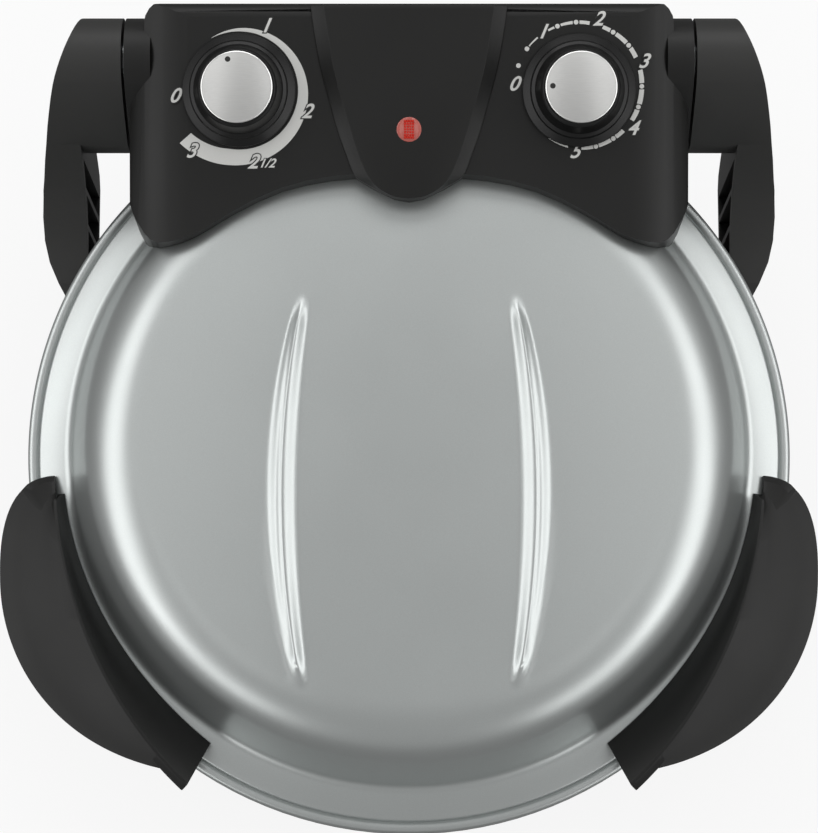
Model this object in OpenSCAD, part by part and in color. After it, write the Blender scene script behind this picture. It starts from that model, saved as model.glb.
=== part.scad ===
// Countertop pizza maker: a round baking bowl on four feet under a hinged dome lid
//
// The origin is the centre of the closed object's footprint, on the surface that its feet stand on.
// X points to the right, Y to the hinge at the rear and Z up. Every shape is first drawn about the
// bowl's axis, and placed() then moves it to the origin.

/* [Overall] */
// Radius of the baking stone
stone_r = 155; // [125:0.5:190]
// Height of the base bowl, without its feet
base_h = 64; // [54:0.5:90]
// Height of the lid from its lower edge to the top of its crown
lid_h = 59.4; // [50:0.1:75]
// Height of the feet
foot_h = 16; // [10:0.5:30]
// Gap between the edges of the closed lid and the base
rim_gap = 0.6; // [0.3:0.1:1.5]

/* [Sheet metal] */
// Thickness of the lid's and the bowl's sheet
sheet_t = 1.2; // [0.8:0.1:1.6]
// Thickness of the two reflector pans
pan_t = 1; // [0.6:0.1:1.2]
// Width of the rim outside the stone
rim_margin = 11.5; // [11:0.1:16]
// Radius of the lid's shoulder
shoulder_r = 28; // [12:0.5:36]
// Lean of the lid's wall
wall_lean = 18; // [12:1:24]
// Rise of the flange at the foot of the lid's wall
flange_rise = 14; // [8:1:18]
// Height of the two embossed crescents on the crown
crescent_h = 3.5; // [2:0.1:5]

/* [Baking stone] */
// Thickness of the stone
stone_t = 14; // [8:0.5:15]
// Clearance round the stone
stone_gap = 1.2; // [0.5:0.1:2]

/* [Heaters] */
// Radius of a heater's tube
tube_r = 3.3; // [2.5:0.1:4]
// Radius of the lower heater's loop
lower_loop_r = 105; // [80:0.5:115]
// Radius of the upper heater's loop
upper_loop_r = 95; // [75:0.5:98]
// Outer radius of a ceramic bush
bush_r = 5.5; // [4.5:0.1:6]
// Running clearance round fixed pieces that pass through a hole
hole_gap = 0.1; // [0.05:0.01:0.2]

/* [Hinge] */
// Radius of the barrel round the hinge axis
barrel_r = 18; // [15:0.5:20]
// Radius of the hinge pin
pin_r = 4; // [3.5:0.1:5]
// Radius of the bore along the hinge pin
pin_bore_r = 2.6; // [2.5:0.1:2.8]
// Radial clearance of the pin in the housing
pin_gap = 0.05; // [0.02:0.01:0.1]
// Length of the arm's boss along the hinge axis
boss_l = 20.5; // [16:0.5:24]
// Wall of the hollow arm
arm_wall = 3.5; // [2.5:0.1:4]
// Thickness of the arm's ribs
rib_t = 2.5; // [1.5:0.1:3]

/* [Control housing] */
// Slope of the control panel
panel_tilt = 11.5; // [6:0.5:14]
// Wall of the housing
wall_t = 2.6; // [2:0.1:3]
// Height of the raised tongue in the middle of the panel
tongue_h = 4; // [2:0.5:5]
// Clearance between the housing and the lid
lid_gap = 0.15; // [0.1:0.01:0.3]
// Radius of the indicator lens
lens_r = 5.25; // [4:0.05:6]

/* [Knobs] */
// Radius of a knob's flange
knob_r = 24; // [20:0.5:25]
// Height of a knob above the panel
knob_h = 20.5; // [17:0.5:24]
// Radius of a knob's cap
cap_r = 15; // [13:0.5:15.5]
// Radius of a knob's shaft
shaft_r = 3; // [2.5:0.1:4]

/* [Handles] */
// Thickness of a handle's plates
plate_t = 3; // [2:0.1:4]
// Radius of a handle's screw bosses
handle_boss_r = 3; // [2.8:0.1:3.4]

/* [Small parts] */
// Radius of a screw's shank
screw_r = 1.6; // [1.4:0.1:1.8]
// Radius of a screw's head
head_r = 3.2; // [2.8:0.1:3.4]
// Radius of a foot where it stands
foot_r = 10; // [8:0.5:14]
// Radius of the sheathed lead to the lower heater
lead_r = 2.3; // [1.8:0.1:2.4]
// Radius of a single wire
wire_r = 1.2; // [0.8:0.1:1.4]

/* [Hidden] */
$fn = 64;

// Heights
rim_r = stone_r + rim_margin;
rim_z = foot_h + base_h;
lid_z = rim_z + rim_gap;
dome_z = lid_z + lid_h;
seat_z = rim_z - 5.8;

// Hinge axis and arms
hinge_y = rim_r - 5;
hinge_z = dome_z - 6;
hinge = [hinge_y, hinge_z];
housing_w = rim_r - 46;
neck_x = housing_w + 0.8;
arm_x = housing_w + 2;
limb_x = arm_x + boss_l;
arm_front_y = sqrt(pow(rim_r, 2) - pow(rim_r - 18.5, 2));
boss_front_y = hinge_y - 32;
arm_clear = 0.3;

// Control housing: its outline's X values are written for a half width of 118.5. Its middle widens
// with the housing, and its sides keep their distance from the housing's width
wide = housing_w / 118.5;
function plan_x(x) = x < 100 ? x * wide : housing_w - (118.5 - x) * 1.0169;
rear_y = hinge_y + 19.5;
panel_front_y = hinge_y - 64;
knob_x = 70.8 * wide;
knob_y = hinge_y - 18.4;
lamp_y = hinge_y - 34.8;
gland_x = -40 * wide;
gland_out = 6;
cover_z = lid_z + 13.4;
cover_t = 2;
terminal_y = hinge_y + 7;

// The footprint runs from the front of the rim to the end of the cord gland
shift_y = (rim_r - rear_y - gland_out) / 2;

black_steel = "#2A2A2B";
black_plastic = "#30302F";
satin_steel = "#B4B6B5";
bright_steel = "#D0D0CE";
stone_grey = "#C9BFA9";
ceramic = "#E6E1D6";

module placed() {
    translate([0, shift_y, 0]) children();
}

// Points of an arc about c from the angle a0 to a1
function arc(c, r, a0, a1, n = 8) =
    [for (i = [0:n]) let (a = a0 + (a1 - a0) * i / n) c + r * [cos(a), sin(a)]];

// Point of a cubic curve with the four control points p
function curve_at(p, t) = let (s = 1 - t)
    s * s * s * p[0] + 3 * s * s * t * p[1] + 3 * s * t * t * p[2] + t * t * t * p[3];

function curve(p, n = 10) = [for (i = [0:n]) curve_at(p, i / n)];

function reversed(points) = [for (i = [len(points) - 1:-1:0]) points[i]];

// All points but the first, so that two stretches can share an end
function tail(points) = [for (i = [1:len(points) - 1]) points[i]];

function unit(v) = v / norm(v);

function left_of(a, b) = let (d = unit(b - a)) [-d[1], d[0]];

// An open line moved by d to its left, with mitred corners; a point on the axis stays on it
function beside(line, d) = let (last = len(line) - 1) [for (k = [0:last]) let (
    n1 = left_of(line[max(k - 1, 0)], line[max(k, 1)]),
    n2 = left_of(line[min(k, last - 1)], line[min(k + 1, last)]),
    p = line[k] + d * (n1 + n2) / (1 + n1 * n2))
    [line[k][0] == 0 ? 0 : p[0], p[1]]];

// Section of a sheet whose one face is the line, with the thickness t on its left
function sheet(line, t) = concat(line, reversed(beside(line, t)));

// A closed counter-clockwise outline drawn in by d
function inset(points, d) = let (n = len(points)) [for (k = [0:n - 1]) let (
    n1 = left_of(points[(k + n - 1) % n], points[k]),
    n2 = left_of(points[k], points[(k + 1) % n]))
    points[k] + d * (n1 + n2) / (1 + n1 * n2)];

function mirrored(points) = [for (p = points) [-p[0], p[1]]];

// A prism along X of an outline drawn with Y to the right and Z up
module along_x(x0, x1) {
    translate([x0, 0, 0]) rotate([90, 0, 90]) linear_extrude(x1 - x0) children();
}

// A prism along Y of an outline drawn with X to the right and Z up
module along_y(y0, y1) {
    translate([0, y1, 0]) rotate([90, 0, 0]) linear_extrude(y1 - y0) children();
}

module ring(r_out, r_in, h) {
    difference() {
        cylinder(r = r_out, h = h);
        translate([0, 0, -1]) cylinder(r = r_in, h = h + 2);
    }
}

// A rod of radius r from a to b
module rod(a, b, r) {
    d = b - a;
    l = norm(d);
    turn = atan2(d[1], d[0]);
    lean = acos(d[2] / l);
    translate(a) rotate([0, lean, turn]) cylinder(r = r, h = l, $fn = 24);
}

// Rings of a mitred tube: each runs on along its stretch to the plane that halves the next bend
function tube_rings(points, ring, k = 0) = k == len(points) - 1 ? [ring] : let (
    d = unit(points[k + 1] - points[k]),
    e = k + 2 < len(points) ? unit(points[k + 2] - points[k + 1]) : d,
    next = [for (q = ring) q + d * ((points[k + 1] - q) * (d + e)) / (d * (d + e))])
    concat([ring], tube_rings(points, next, k + 1));

// A cable of radius r along straight stretches
module cable(points, r, sides = 10) {
    d = unit(points[1] - points[0]);
    u = unit(abs(d[2]) > 0.9 ? cross(d, [0, 1, 0]) : cross(d, [0, 0, 1]));
    v = cross(d, u);
    first = [for (a = [0:360 / sides:359]) points[0] + r * (u * cos(a) + v * sin(a))];
    last = len(points) - 1;
    faces = [for (i = [0:last - 1]) for (k = [0:sides - 1]) let (
        a = i * sides + k, b = i * sides + (k + 1) % sides)
        each [[a, b + sides, b], [a, a + sides, b + sides]]];
    polyhedron([for (ring = tube_rings(points, first)) each ring], concat(faces,
        [[for (k = [0:sides - 1]) k], [for (k = [sides - 1:-1:0]) last * sides + k]]));
}

// The straight channels that a cable of radius r needs through a solid
module channel(points, r) {
    for (k = [1:len(points) - 1]) {
        past = unit(points[k] - points[k - 1]) * r;
        rod(points[k - 1] - past, points[k] + past, r);
    }
}

// A cross-recessed screw that points up from its head, whose bearing face is at z = 0
module screw(l, r = screw_r, head = head_r, h = 2) {
    difference() {
        union() {
            translate([0, 0, -h]) cylinder(r = head, h = h, $fn = 32);
            cylinder(r = r, h = l, $fn = 32);
        }
        for (a = [0, 90])
            rotate(a) translate([-head * 0.6, -0.4, -h - 1]) cube([head * 1.2, 0.8, 2]);
    }
}

// At the angle a round the bowl's axis and the radius r
module polar(r, a) {
    rotate(a) translate([r, 0, 0]) children();
}

// Base bowl
bowl_r = rim_r - 6.5;
bowl_arc = base_h - 9;
arc_c = [bowl_r - bowl_arc, foot_h + bowl_arc];
base_line = concat(
    [[0, foot_h]],
    arc(arc_c, bowl_arc, -90, 0, 12),
    [[bowl_r, seat_z - sheet_t], [rim_r, seat_z - sheet_t], [rim_r, rim_z]]);
foot_place_r = arc_c[0] - 15;
foot_screw_r = 2;
nut_h = 3;

// Radius of the bowl's outer face at a height
function bowl_at(z) = z > arc_c[1] ? bowl_r
    : arc_c[0] + sqrt(pow(bowl_arc, 2) - pow(arc_c[1] - z, 2));

// On the inside of the bowl's wall at the angle a and the height z, with +Z outwards through the wall
module on_bowl(a, z) {
    tilt = asin(max(0, arc_c[1] - z) / bowl_arc);
    rotate(a) translate([bowl_at(z), 0, z]) rotate([0, 90 + tilt, 0]) translate([0, 0, -sheet_t])
        children();
}

// The bowl filled up to its rim and grown by a clearance
module filled_bowl(gap) {
    rotate_extrude($fn = 128)
        polygon(concat(beside(base_line, -gap), [[rim_r + gap, rim_z + 1], [0, rim_z + 1]]));
}

module base_shell() {
    color(black_steel) placed() difference() {
        rotate_extrude($fn = 128) polygon(sheet(base_line, sheet_t));
        for (a = [45:90:315])
            polar(foot_place_r, a) translate([0, 0, foot_h - 1])
                cylinder(r = foot_screw_r + hole_gap, h = sheet_t + 2, $fn = 32);
        for (side = [-1, 1])
            scale_x(side) {
                for (k = [0:1])
                    arm_screw_place(k) translate([0, 0, -6]) cylinder(r = screw_r + hole_gap, h = 14);
                for (a = base_handle_screws_a)
                    base_handle_screw_place(a) translate([0, 0, -6])
                        cylinder(r = screw_r + hole_gap, h = 12);
            }
        channel(lead_out, lead_r + 0.7);
    }
}

// Mirrors its children to the left side where side is -1
module scale_x(side) {
    if (side < 0) mirror([1, 0, 0]) children();
    else children();
}

// Reflector pan that hangs from the bowl's flange and carries the stone on a ledge
stone_z = rim_z - 3 - stone_t;
pan_wall_r = stone_r + stone_gap;
pan_floor_z = rim_z - 43;
well_top_r = stone_r - 9;
well_r = stone_r - 26;
pan_line = [[0, pan_floor_z], [well_r, pan_floor_z], [well_top_r, stone_z],
    [pan_wall_r, stone_z], [pan_wall_r, seat_z + pan_t], [rim_r - sheet_t - 0.5, seat_z + pan_t]];
lower_z = rim_z - 34;
lower_end_x = 12.8;
bend_r = 8;
loop_steps = 54;
clip_gap = 0.25;
// Distance of the well's wall from the axis at the heater's height
well_heater_r = well_r + (well_top_r - well_r) * (lower_z - pan_floor_z) / (stone_z - pan_floor_z);

module base_reflector() {
    color(bright_steel) placed() difference() {
        rotate_extrude($fn = 128) polygon(sheet(pan_line, -pan_t));
        for (side = [-1, 1])
            translate([side * lower_end_x, well_heater_r - 14, lower_z]) rotate([-90, 0, 0])
                cylinder(r = bush_r + hole_gap, h = 24, $fn = 48);
    }
}

module baking_stone() {
    chamfer = 1.5;
    color(stone_grey) placed() translate([0, 0, stone_z]) rotate_extrude($fn = 128)
        polygon([[0, 0], [stone_r - chamfer, 0], [stone_r, chamfer], [stone_r, stone_t - chamfer],
            [stone_r - chamfer, stone_t], [0, stone_t]]);
}

// A heater's loop at the height z, with its two ends bent to the rear at end_x each side
function heater_path(loop_r, end_x, z) = let (
    gap_a = asin((end_x + bend_r) / (loop_r + bend_r)),
    bend_y = (loop_r + bend_r) * cos(gap_a),
    path = concat(
        arc([end_x + bend_r, bend_y], bend_r, 180, 270 - gap_a, 4),
        tail(arc([0, 0], loop_r, 90 - gap_a, gap_a - 270, loop_steps)),
        tail(arc([-end_x - bend_r, bend_y], bend_r, gap_a - 90, 0, 4))))
    [for (p = path) [p[0], p[1], z]];

// The thin pin at the end of a heater, from p along the direction d
module heater_terminal(p, d) {
    rod(p - d, p + d * 3, 1.5);
}

module lower_heater() {
    end_y = well_heater_r + 3;
    ends = [for (side = [1, -1]) [side * lower_end_x, end_y, lower_z]];
    color(black_steel) placed() {
        cable(concat([ends[0]], heater_path(lower_loop_r, lower_end_x, lower_z), [ends[1]]), tube_r);
        for (p = ends)
            heater_terminal(p, [0, 1.5, 0]);
    }
}

// A clip that stands on a pan and cradles the heater's tube
module heater_clip(base_gap) {
    difference() {
        translate([-6, -2, -base_gap]) cube([12, 4, base_gap + 1]);
        rotate([90, 0, 0]) translate([0, 0, -5]) cylinder(r = tube_r + clip_gap, h = 10, $fn = 48);
    }
}

clip_angles = [30, 150, 270];

module lower_heater_clips() {
    color(bright_steel) placed() for (a = clip_angles)
        polar(lower_loop_r, a) translate([0, 0, lower_z]) heater_clip(lower_z - pan_floor_z);
}

module lower_heater_bushes() {
    color(ceramic) placed() for (side = [-1, 1])
        translate([side * lower_end_x, well_heater_r - 7, lower_z]) rotate([-90, 0, 0])
            ring(bush_r, tube_r + hole_gap, 10);
}

// Hinge arms: the right one is drawn and the left one mirrored
arm_top = hinge + barrel_r * [cos(140), sin(140)];
arm_back = hinge + barrel_r * [cos(35), -sin(35)];
arm_side = concat(
    curve([[arm_front_y + 12, rim_z - 3], [hinge_y - 41, rim_z - 1],
        arm_top - 24 * [cos(50), sin(50)], arm_top]),
    tail(arc(hinge, barrel_r, 140, -35, 14)),
    tail(curve([arm_back, [hinge_y - 5.4, hinge_z - 39], [hinge_y - 11, rim_z - 20],
        [hinge_y - 25, foot_h + 18]])),
    [[hinge_y - 31, foot_h + 14], [arm_front_y + 3, foot_h + 14],
        [arm_front_y, foot_h + 17], [arm_front_y, rim_z - 4.5]]);
arm_outer = curve([[arm_x + 17, rear_y], [arm_x + 31, hinge_y - 22.5],
    [arm_x + 50.5, arm_front_y + 31.5], [arm_x + 33.4, arm_front_y]]);
arm_plan = concat([[arm_x, rear_y]], [[arm_x, arm_front_y]], reversed(arm_outer));
boss_side = [[boss_front_y, rim_z + 20], [boss_front_y + 6, rim_z + 18],
    [hinge_y + 4, hinge_z - 26], [hinge_y + 15, hinge_z - 14], [hinge_y + 25, hinge_z - 4],
    [hinge_y + 25, hinge_z + 25], [boss_front_y, hinge_z + 25]];
block_a = atan2(arm_front_y + 8, arm_x + 6);
block_z = [foot_h + 18, seat_z - 3.2];
pin_in_x = housing_w - 12.5;
pin_out_x = arm_x + 11.5;
pin_fit = 0.02;

// Route of the lead: round the bowl, out through the arm's block and up the arm to the hinge axis
lead_ring_r = stone_r - 11;
lead_ring_a = [for (k = [0:5]) 83 - (83 - block_a - 1) * k / 5];
lead_wall = concat(lead_ring_r * [cos(block_a + 1), sin(block_a + 1)], lower_z);
lead_out = [lead_wall, [arm_x + 25.5, arm_front_y + 17, lower_z + 5]];
lead_up = [lead_out[1], [arm_x + 29, arm_front_y + 34, rim_z - 6],
    [arm_x + 25.5, hinge_y - 21, rim_z + 26], [arm_x + 20.5, hinge_y - 9, hinge_z - 10],
    [arm_x + 15.5, hinge_y, hinge_z]];
lead_end_x = housing_w - 20;

// Where a screw of the arm's block bears on the inside of the bowl, pointing outwards
module arm_screw_place(k) {
    on_bowl(block_a - 3 + 6 * k, block_z[0] + 12.5 + 10.5 * k) children();
}

module arm_solid() {
    intersection() {
        union() {
            intersection() {
                along_x(arm_x, limb_x) polygon(arm_side);
                along_x(arm_x - 1, limb_x + 1) polygon(boss_side);
            }
            difference() {
                along_x(limb_x, arm_x + 45) polygon(arm_side);
                arm_pocket();
            }
        }
        linear_extrude(hinge_z + 40) polygon(arm_plan);
    }
}

// Hollow of the arm, open towards the bowl, with two ribs left across it
module arm_pocket() {
    difference() {
        intersection() {
            along_x(limb_x - 1, arm_x + 45) polygon(inset(reversed(arm_side), arm_wall));
            linear_extrude(hinge_z) polygon(inset(arm_plan, arm_wall));
            translate([limb_x - 1, arm_front_y + 8, 0]) cube([50, hinge_y - 35 - arm_front_y - 8, hinge_z]);
        }
        for (y = [arm_front_y + 24, arm_front_y + 38])
            translate([limb_x - 2, y, 0]) cube([50, rib_t, hinge_z]);
    }
}

module arm_block() {
    intersection() {
        translate([arm_x - 8.5, arm_front_y - 0.5, block_z[0]])
            cube([boss_l + 8.5, 16.5, block_z[1] - block_z[0]]);
        cylinder(r = rim_r - 1.5, h = rim_z, $fn = 128);
    }
}

module hinge_arm() {
    difference() {
        union() {
            arm_solid();
            arm_block();
        }
        filled_bowl(lid_gap);
        translate([0, 0, seat_z - sheet_t - arm_clear]) cylinder(r = rim_r + arm_clear, h = 20, $fn = 128);
        translate([arm_x - 1, hinge_y, hinge_z]) rotate([0, 90, 0])
            cylinder(r = pin_r + pin_fit, h = pin_out_x - arm_x + 1);
        channel(concat(lead_out, tail(lead_up), [[pin_out_x - 1, hinge_y, hinge_z]]), lead_r + 0.7);
        for (k = [0:1])
            arm_screw_place(k) cylinder(r = screw_r + pin_gap, h = 14);
    }
}

module left_hinge_arm() {
    color(black_plastic) placed() mirror([1, 0, 0]) hinge_arm();
}

module right_hinge_arm() {
    color(black_plastic) placed() hinge_arm();
}

module hinge_pin() {
    translate([pin_in_x, hinge_y, hinge_z]) rotate([0, 90, 0])
        ring(pin_r, pin_bore_r, pin_out_x - pin_in_x);
}

module left_hinge_pin() {
    color(bright_steel) placed() mirror([1, 0, 0]) hinge_pin();
}

module right_hinge_pin() {
    color(bright_steel) placed() hinge_pin();
}

module hinge_washers() {
    color(bright_steel) placed() for (side = [-1, 1]) scale_x(side)
        translate([neck_x + hole_gap, hinge_y, hinge_z]) rotate([0, 90, 0])
            ring(9, pin_r + hole_gap, arm_x - neck_x - 2 * hole_gap);
}

module pin_clips() {
    color(bright_steel) placed() for (side = [-1, 1]) scale_x(side)
        translate([pin_in_x + 0.7, hinge_y, hinge_z]) rotate([0, 90, 0]) ring(7, pin_r + pin_fit, 1);
}

module arm_screws() {
    color(bright_steel) placed() for (side = [-1, 1]) scale_x(side)
        for (k = [0:1])
            arm_screw_place(k) translate([0, 0, -0.2]) screw(12);
}

// Base handles: a box-section grip, open underneath, that follows the lid handle's outer edge
base_handle_z = rim_z - 12;
base_handle_h = 18;
base_handle_screws_a = [-18, -30, -42];

// A place at a distance outside the rim's circle and an angle from the side towards the front
function rim_point(p) = (rim_r + p[0]) * [cos(p[1]), -sin(p[1])];
function rim_points(p) = [for (c = p) rim_point(c)];

outer_rear = rim_points([[-15.6, 4.9], [5, 3.4], [14.3, 9.1], [19.5, 17.7]]);
outer_front = rim_points([[19.5, 17.7], [33, 28], [33, 40.5], [8, 53.5]]);
base_grip_curve = concat(
    [rim_point([1, 10])],
    curve(rim_points([[5, 10.5], [13, 12], [18.5, 15], [19.5, 19]]), 6),
    tail(curve(rim_points([[19.5, 19], [31.5, 28.5], [29, 42], [7, 50.8]]), 12)),
    [rim_point([1, 51.5])]);
base_grip_inner = arc([0, 0], bowl_r + lid_gap, -51.5, -10, 12);
base_grip_plan = reversed(concat(base_grip_inner, base_grip_curve));

module base_handle_screw_place(a) {
    on_bowl(a, base_handle_z - 11) children();
}

module base_handle() {
    difference() {
        union() {
            difference() {
                translate([0, 0, base_handle_z - base_handle_h]) linear_extrude(base_handle_h)
                    polygon(base_grip_plan);
                translate([0, 0, base_handle_z - base_handle_h - plate_t]) linear_extrude(base_handle_h)
                    polygon(inset(base_grip_plan, plate_t));
            }
            for (a = base_handle_screws_a)
                base_handle_screw_place(a) translate([0, 0, sheet_t + lid_gap])
                    cylinder(r = handle_boss_r + 1, h = 10, $fn = 48);
        }
        for (a = base_handle_screws_a)
            base_handle_screw_place(a) cylinder(r = screw_r + pin_gap, h = 10);
        filled_bowl(lid_gap);
    }
}

module left_base_handle() {
    color(black_plastic) placed() mirror([1, 0, 0]) base_handle();
}

module right_base_handle() {
    color(black_plastic) placed() base_handle();
}

module base_handle_screws() {
    color(bright_steel) placed() for (side = [-1, 1]) scale_x(side)
        for (a = base_handle_screws_a)
            base_handle_screw_place(a) translate([0, 0, -0.2]) screw(8);
}

// Feet
module rubber_feet() {
    color("#232323") placed() for (a = [45:90:315]) polar(foot_place_r, a) difference() {
        cylinder(r1 = foot_r, r2 = foot_r + 2, h = foot_h);
        translate([0, 0, -1]) cylinder(r = 4.5, h = 7);
        cylinder(r = foot_screw_r + hole_gap, h = foot_h + 1);
    }
}

module feet_screws() {
    color(bright_steel) placed() for (a = [45:90:315]) polar(foot_place_r, a) {
        translate([0, 0, 5.9]) screw(foot_h + sheet_t - 1.9, foot_screw_r, 4, 2.2);
        translate([0, 0, foot_h + sheet_t]) difference() {
            cylinder(r = 4, h = nut_h, $fn = 6);
            translate([0, 0, -1]) cylinder(r = foot_screw_r + pin_fit, h = nut_h + 2);
        }
    }
}

module heater_lead() {
    ring_points = [for (a = lead_ring_a) [lead_ring_r * cos(a), lead_ring_r * sin(a), lower_z]];
    color("#5A5650") placed() {
        cable(concat(ring_points, tail(lead_out), tail(lead_up), [[lead_end_x, hinge_y, hinge_z]]), lead_r);
    }
}

// Lid shell: crown, shoulder, leaning wall, foot fillet, sloped flange and rolled rim
crown_a = 4.8;
// A broader shoulder has its centre further in and leaves the wall in place
shoulder_c_r = rim_r - 45.5
    - (shoulder_r - 16) * (1 - cos(crown_a) * sin(wall_lean)) / cos(wall_lean);
crown_r = (shoulder_c_r + shoulder_r * cos(90 - crown_a)) / sin(crown_a);
crown_rise = crown_r * (1 - cos(crown_a));
shoulder_c = [shoulder_c_r, dome_z - crown_rise - shoulder_r * cos(crown_a)];
foot_fillet = 6;
flange_end = [rim_r - 5.9, lid_z + 6.8];
flange_slope = tan(flange_rise);
wall_n = [cos(wall_lean), sin(wall_lean)];
flange_n = [sin(flange_rise), cos(flange_rise)];
wall_top = shoulder_c + shoulder_r * wall_n;
flange_line = [flange_slope, 1];
wall_dir = [sin(wall_lean), -cos(wall_lean)];
wall_l = (flange_end - wall_top - foot_fillet * (wall_n - flange_n)) * flange_line
    / (wall_dir * flange_line);
fillet_c = wall_top + wall_l * wall_dir + foot_fillet * wall_n;
dome_line = concat(
    arc([0, dome_z - crown_r], crown_r, 90, 90 - crown_a, 6),
    tail(arc(shoulder_c, shoulder_r, 90 - crown_a, wall_lean, 8)),
    arc(fillet_c, foot_fillet, 180 + wall_lean, 270 - flange_rise, 5),
    [flange_end]);
bead_r = 2.6;
bead_line = concat(
    [[rim_r - 5.2, lid_z + 6.3]],
    arc([rim_r - bead_r, lid_z + 4.4], bead_r, 150, 0, 8),
    [[rim_r, lid_z]]);
bead_inner = [[rim_r - sheet_t, lid_z], [rim_r - sheet_t, lid_z + 4.1], [rim_r - 5.2, lid_z + 4.7]];

// The lid's outside filled down to its lower edge and grown by a clearance
module filled_lid(gap) {
    rotate_extrude($fn = 128) polygon(concat(beside(dome_line, gap),
        [[rim_r - 4.5, lid_z + 7 + gap], [rim_r + gap, lid_z + 7 + gap],
        [rim_r + gap, lid_z], [0, lid_z]]));
}

// Height of the sloped flange and the rim at a distance from the axis
function flange_at(r) = r > rim_r + 1 ? 0 : lid_z + 7.1 + max(0, flange_end[0] - r) * flange_slope;

// An embossed crescent: a round ridge on an arc that dives into the crown at both tips
crescent_x = 52.7 * wide;
crescent_y = rim_r - 192.5;
crescent_bend_r = 228;
crescent_tilt = [1, 20, 0];
crescent_sec_r = 10;
crescent_sec_in = crescent_sec_r - crescent_h - 0.2;
crescent_half_a = 21.5;

module crescent() {
    translate([-crescent_x, crescent_y, dome_z - 1]) rotate(crescent_tilt)
        translate([crescent_bend_r, 0, -crescent_sec_in]) rotate([0, 0, 180 - crescent_half_a])
            rotate_extrude(angle = 2 * crescent_half_a, $fn = 192) translate([crescent_bend_r, 0])
                circle(r = crescent_sec_r, $fn = 48);
}

heater_up_y = rim_r - 53;
upper_z = rim_z + 36;
upper_end_x = 10;
cutout_place = [-40, 90 + rim_r - 166.5];
cutout_hole = [-30, heater_up_y + 2];
housing_screw_r = flange_end[0] - 8;
housing_screw_a = [49, 73];
// The lid handle's screws: their angle and their distance inside the flange's outer edge
handle_screws = [[14, 4.2], [29, 4.2], [44, 2.4]];

module handle_screw_place(k) {
    polar(flange_end[0] - handle_screws[k][1], -handle_screws[k][0]) children();
}

module lid_shell() {
    color(satin_steel) placed() difference() {
        union() {
            rotate_extrude($fn = 128)
                polygon(concat(dome_line, bead_line, bead_inner, reversed(beside(dome_line, -sheet_t))));
            difference() {
                for (side = [-1, 1]) scale_x(side) crescent();
                translate([0, 0, -sheet_t / 2]) filled_lid(0);
            }
        }
        for (side = [-1, 1]) scale_x(side) {
            translate([upper_end_x, heater_up_y, dome_z - 12])
                cylinder(r = bush_r + hole_gap, h = 20, $fn = 48);
            for (a = housing_screw_a)
                polar(housing_screw_r, a) translate([0, 0, lid_z]) cylinder(r = screw_r + hole_gap, h = 20);
            for (k = [0:2])
                handle_screw_place(k) translate([0, 0, lid_z]) cylinder(r = screw_r + hole_gap, h = 20);
        }
        translate([cutout_hole[0], cutout_hole[1], dome_z - 12]) cylinder(r = 2.5, h = 20);
    }
}

// Reflector inside the lid
hood_z = rim_z + 46;
hood_lip_z = lid_z + 1.4;
hood_line = [[0, hood_z], [stone_r - 35, hood_z], [stone_r - 27, hood_z - 6],
    [stone_r - 6, hood_lip_z + pan_t], [rim_r - sheet_t - 0.3, hood_lip_z + pan_t]];

module lid_reflector() {
    color(bright_steel) placed() difference() {
        rotate_extrude($fn = 128) polygon(sheet(hood_line, -pan_t));
        for (side = [-1, 1])
            translate([side * upper_end_x, heater_up_y, hood_z - 8])
                cylinder(r = bush_r + hole_gap, h = 16, $fn = 48);
    }
}

// The end of the upper heater at x, from its loop's height up to its top
function upper_end(x) = concat(
    [for (a = [0:22.5:90]) [x, heater_up_y - bend_r * (1 - sin(a)), upper_z + bend_r * (1 - cos(a))]],
    [[x, heater_up_y, dome_z - 2.5]]);

module upper_heater() {
    right = upper_end(upper_end_x);
    left = upper_end(-upper_end_x);
    color(black_steel) placed() {
        cable(concat(reversed(right), heater_path(upper_loop_r, upper_end_x, upper_z), left), tube_r);
        for (p = [right, left])
            heater_terminal(p[len(p) - 1], [0, 0, 1]);
    }
}

module upper_heater_clips() {
    color(bright_steel) placed() for (a = clip_angles)
        polar(upper_loop_r, a) translate([0, 0, upper_z]) mirror([0, 0, 1])
            heater_clip(hood_z - pan_t - upper_z);
}

module upper_heater_bushes() {
    color(ceramic) placed() for (side = [-1, 1])
        translate([side * upper_end_x, heater_up_y, hood_z - 2]) ring(bush_r, tube_r + hole_gap, 13.8);
}

module thermal_cutout() {
    color("#3A3A3C") placed() translate([cutout_place[0], cutout_place[1], hood_z]) {
        cylinder(r = 8, h = 4);
        cylinder(r = 5, h = 5.5);
    }
}

// Lid handles: a leaning blade from the flange up to a ridge, and a grip plate from there outwards
wall_foot_r = fillet_c[0] - foot_fillet * sin(flange_rise);

// Places at distances outside the wall's foot and at angles from the side towards the front
function wall_points(p) = [for (c = p) (wall_foot_r + c[0]) * [cos(c[1]), -sin(c[1])]];

ridge_curve = wall_points([[4.8, 7.8], [13.1, 24.2], [21.9, 41.5], [23.8, 57.3]]);
foot_curve = wall_points([[0.8, 6.7], [7.2, 23.2], [6.3, 40.2], [3.8, 56.5]]);
plate_rear = concat(wall_points([[0.7, 4.9]]), tail(outer_rear));
grip_share = 0.87;
rear_share = 0.35;
grip_steps = 18;

function outer_at(u) = u < rear_share ? curve_at(plate_rear, u / rear_share)
    : curve_at(outer_front, (u - rear_share) / (1 - rear_share));
function ridge_z(t) = rim_z + 14 * pow(1 - t, 2) + 68 * t * (1 - t) + 22 * t * t;
function at_height(p, z) = [p[0], p[1], z];
function above_lid(p, z) = at_height(p, max(z, flange_at(norm(p)) + lid_gap));

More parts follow.
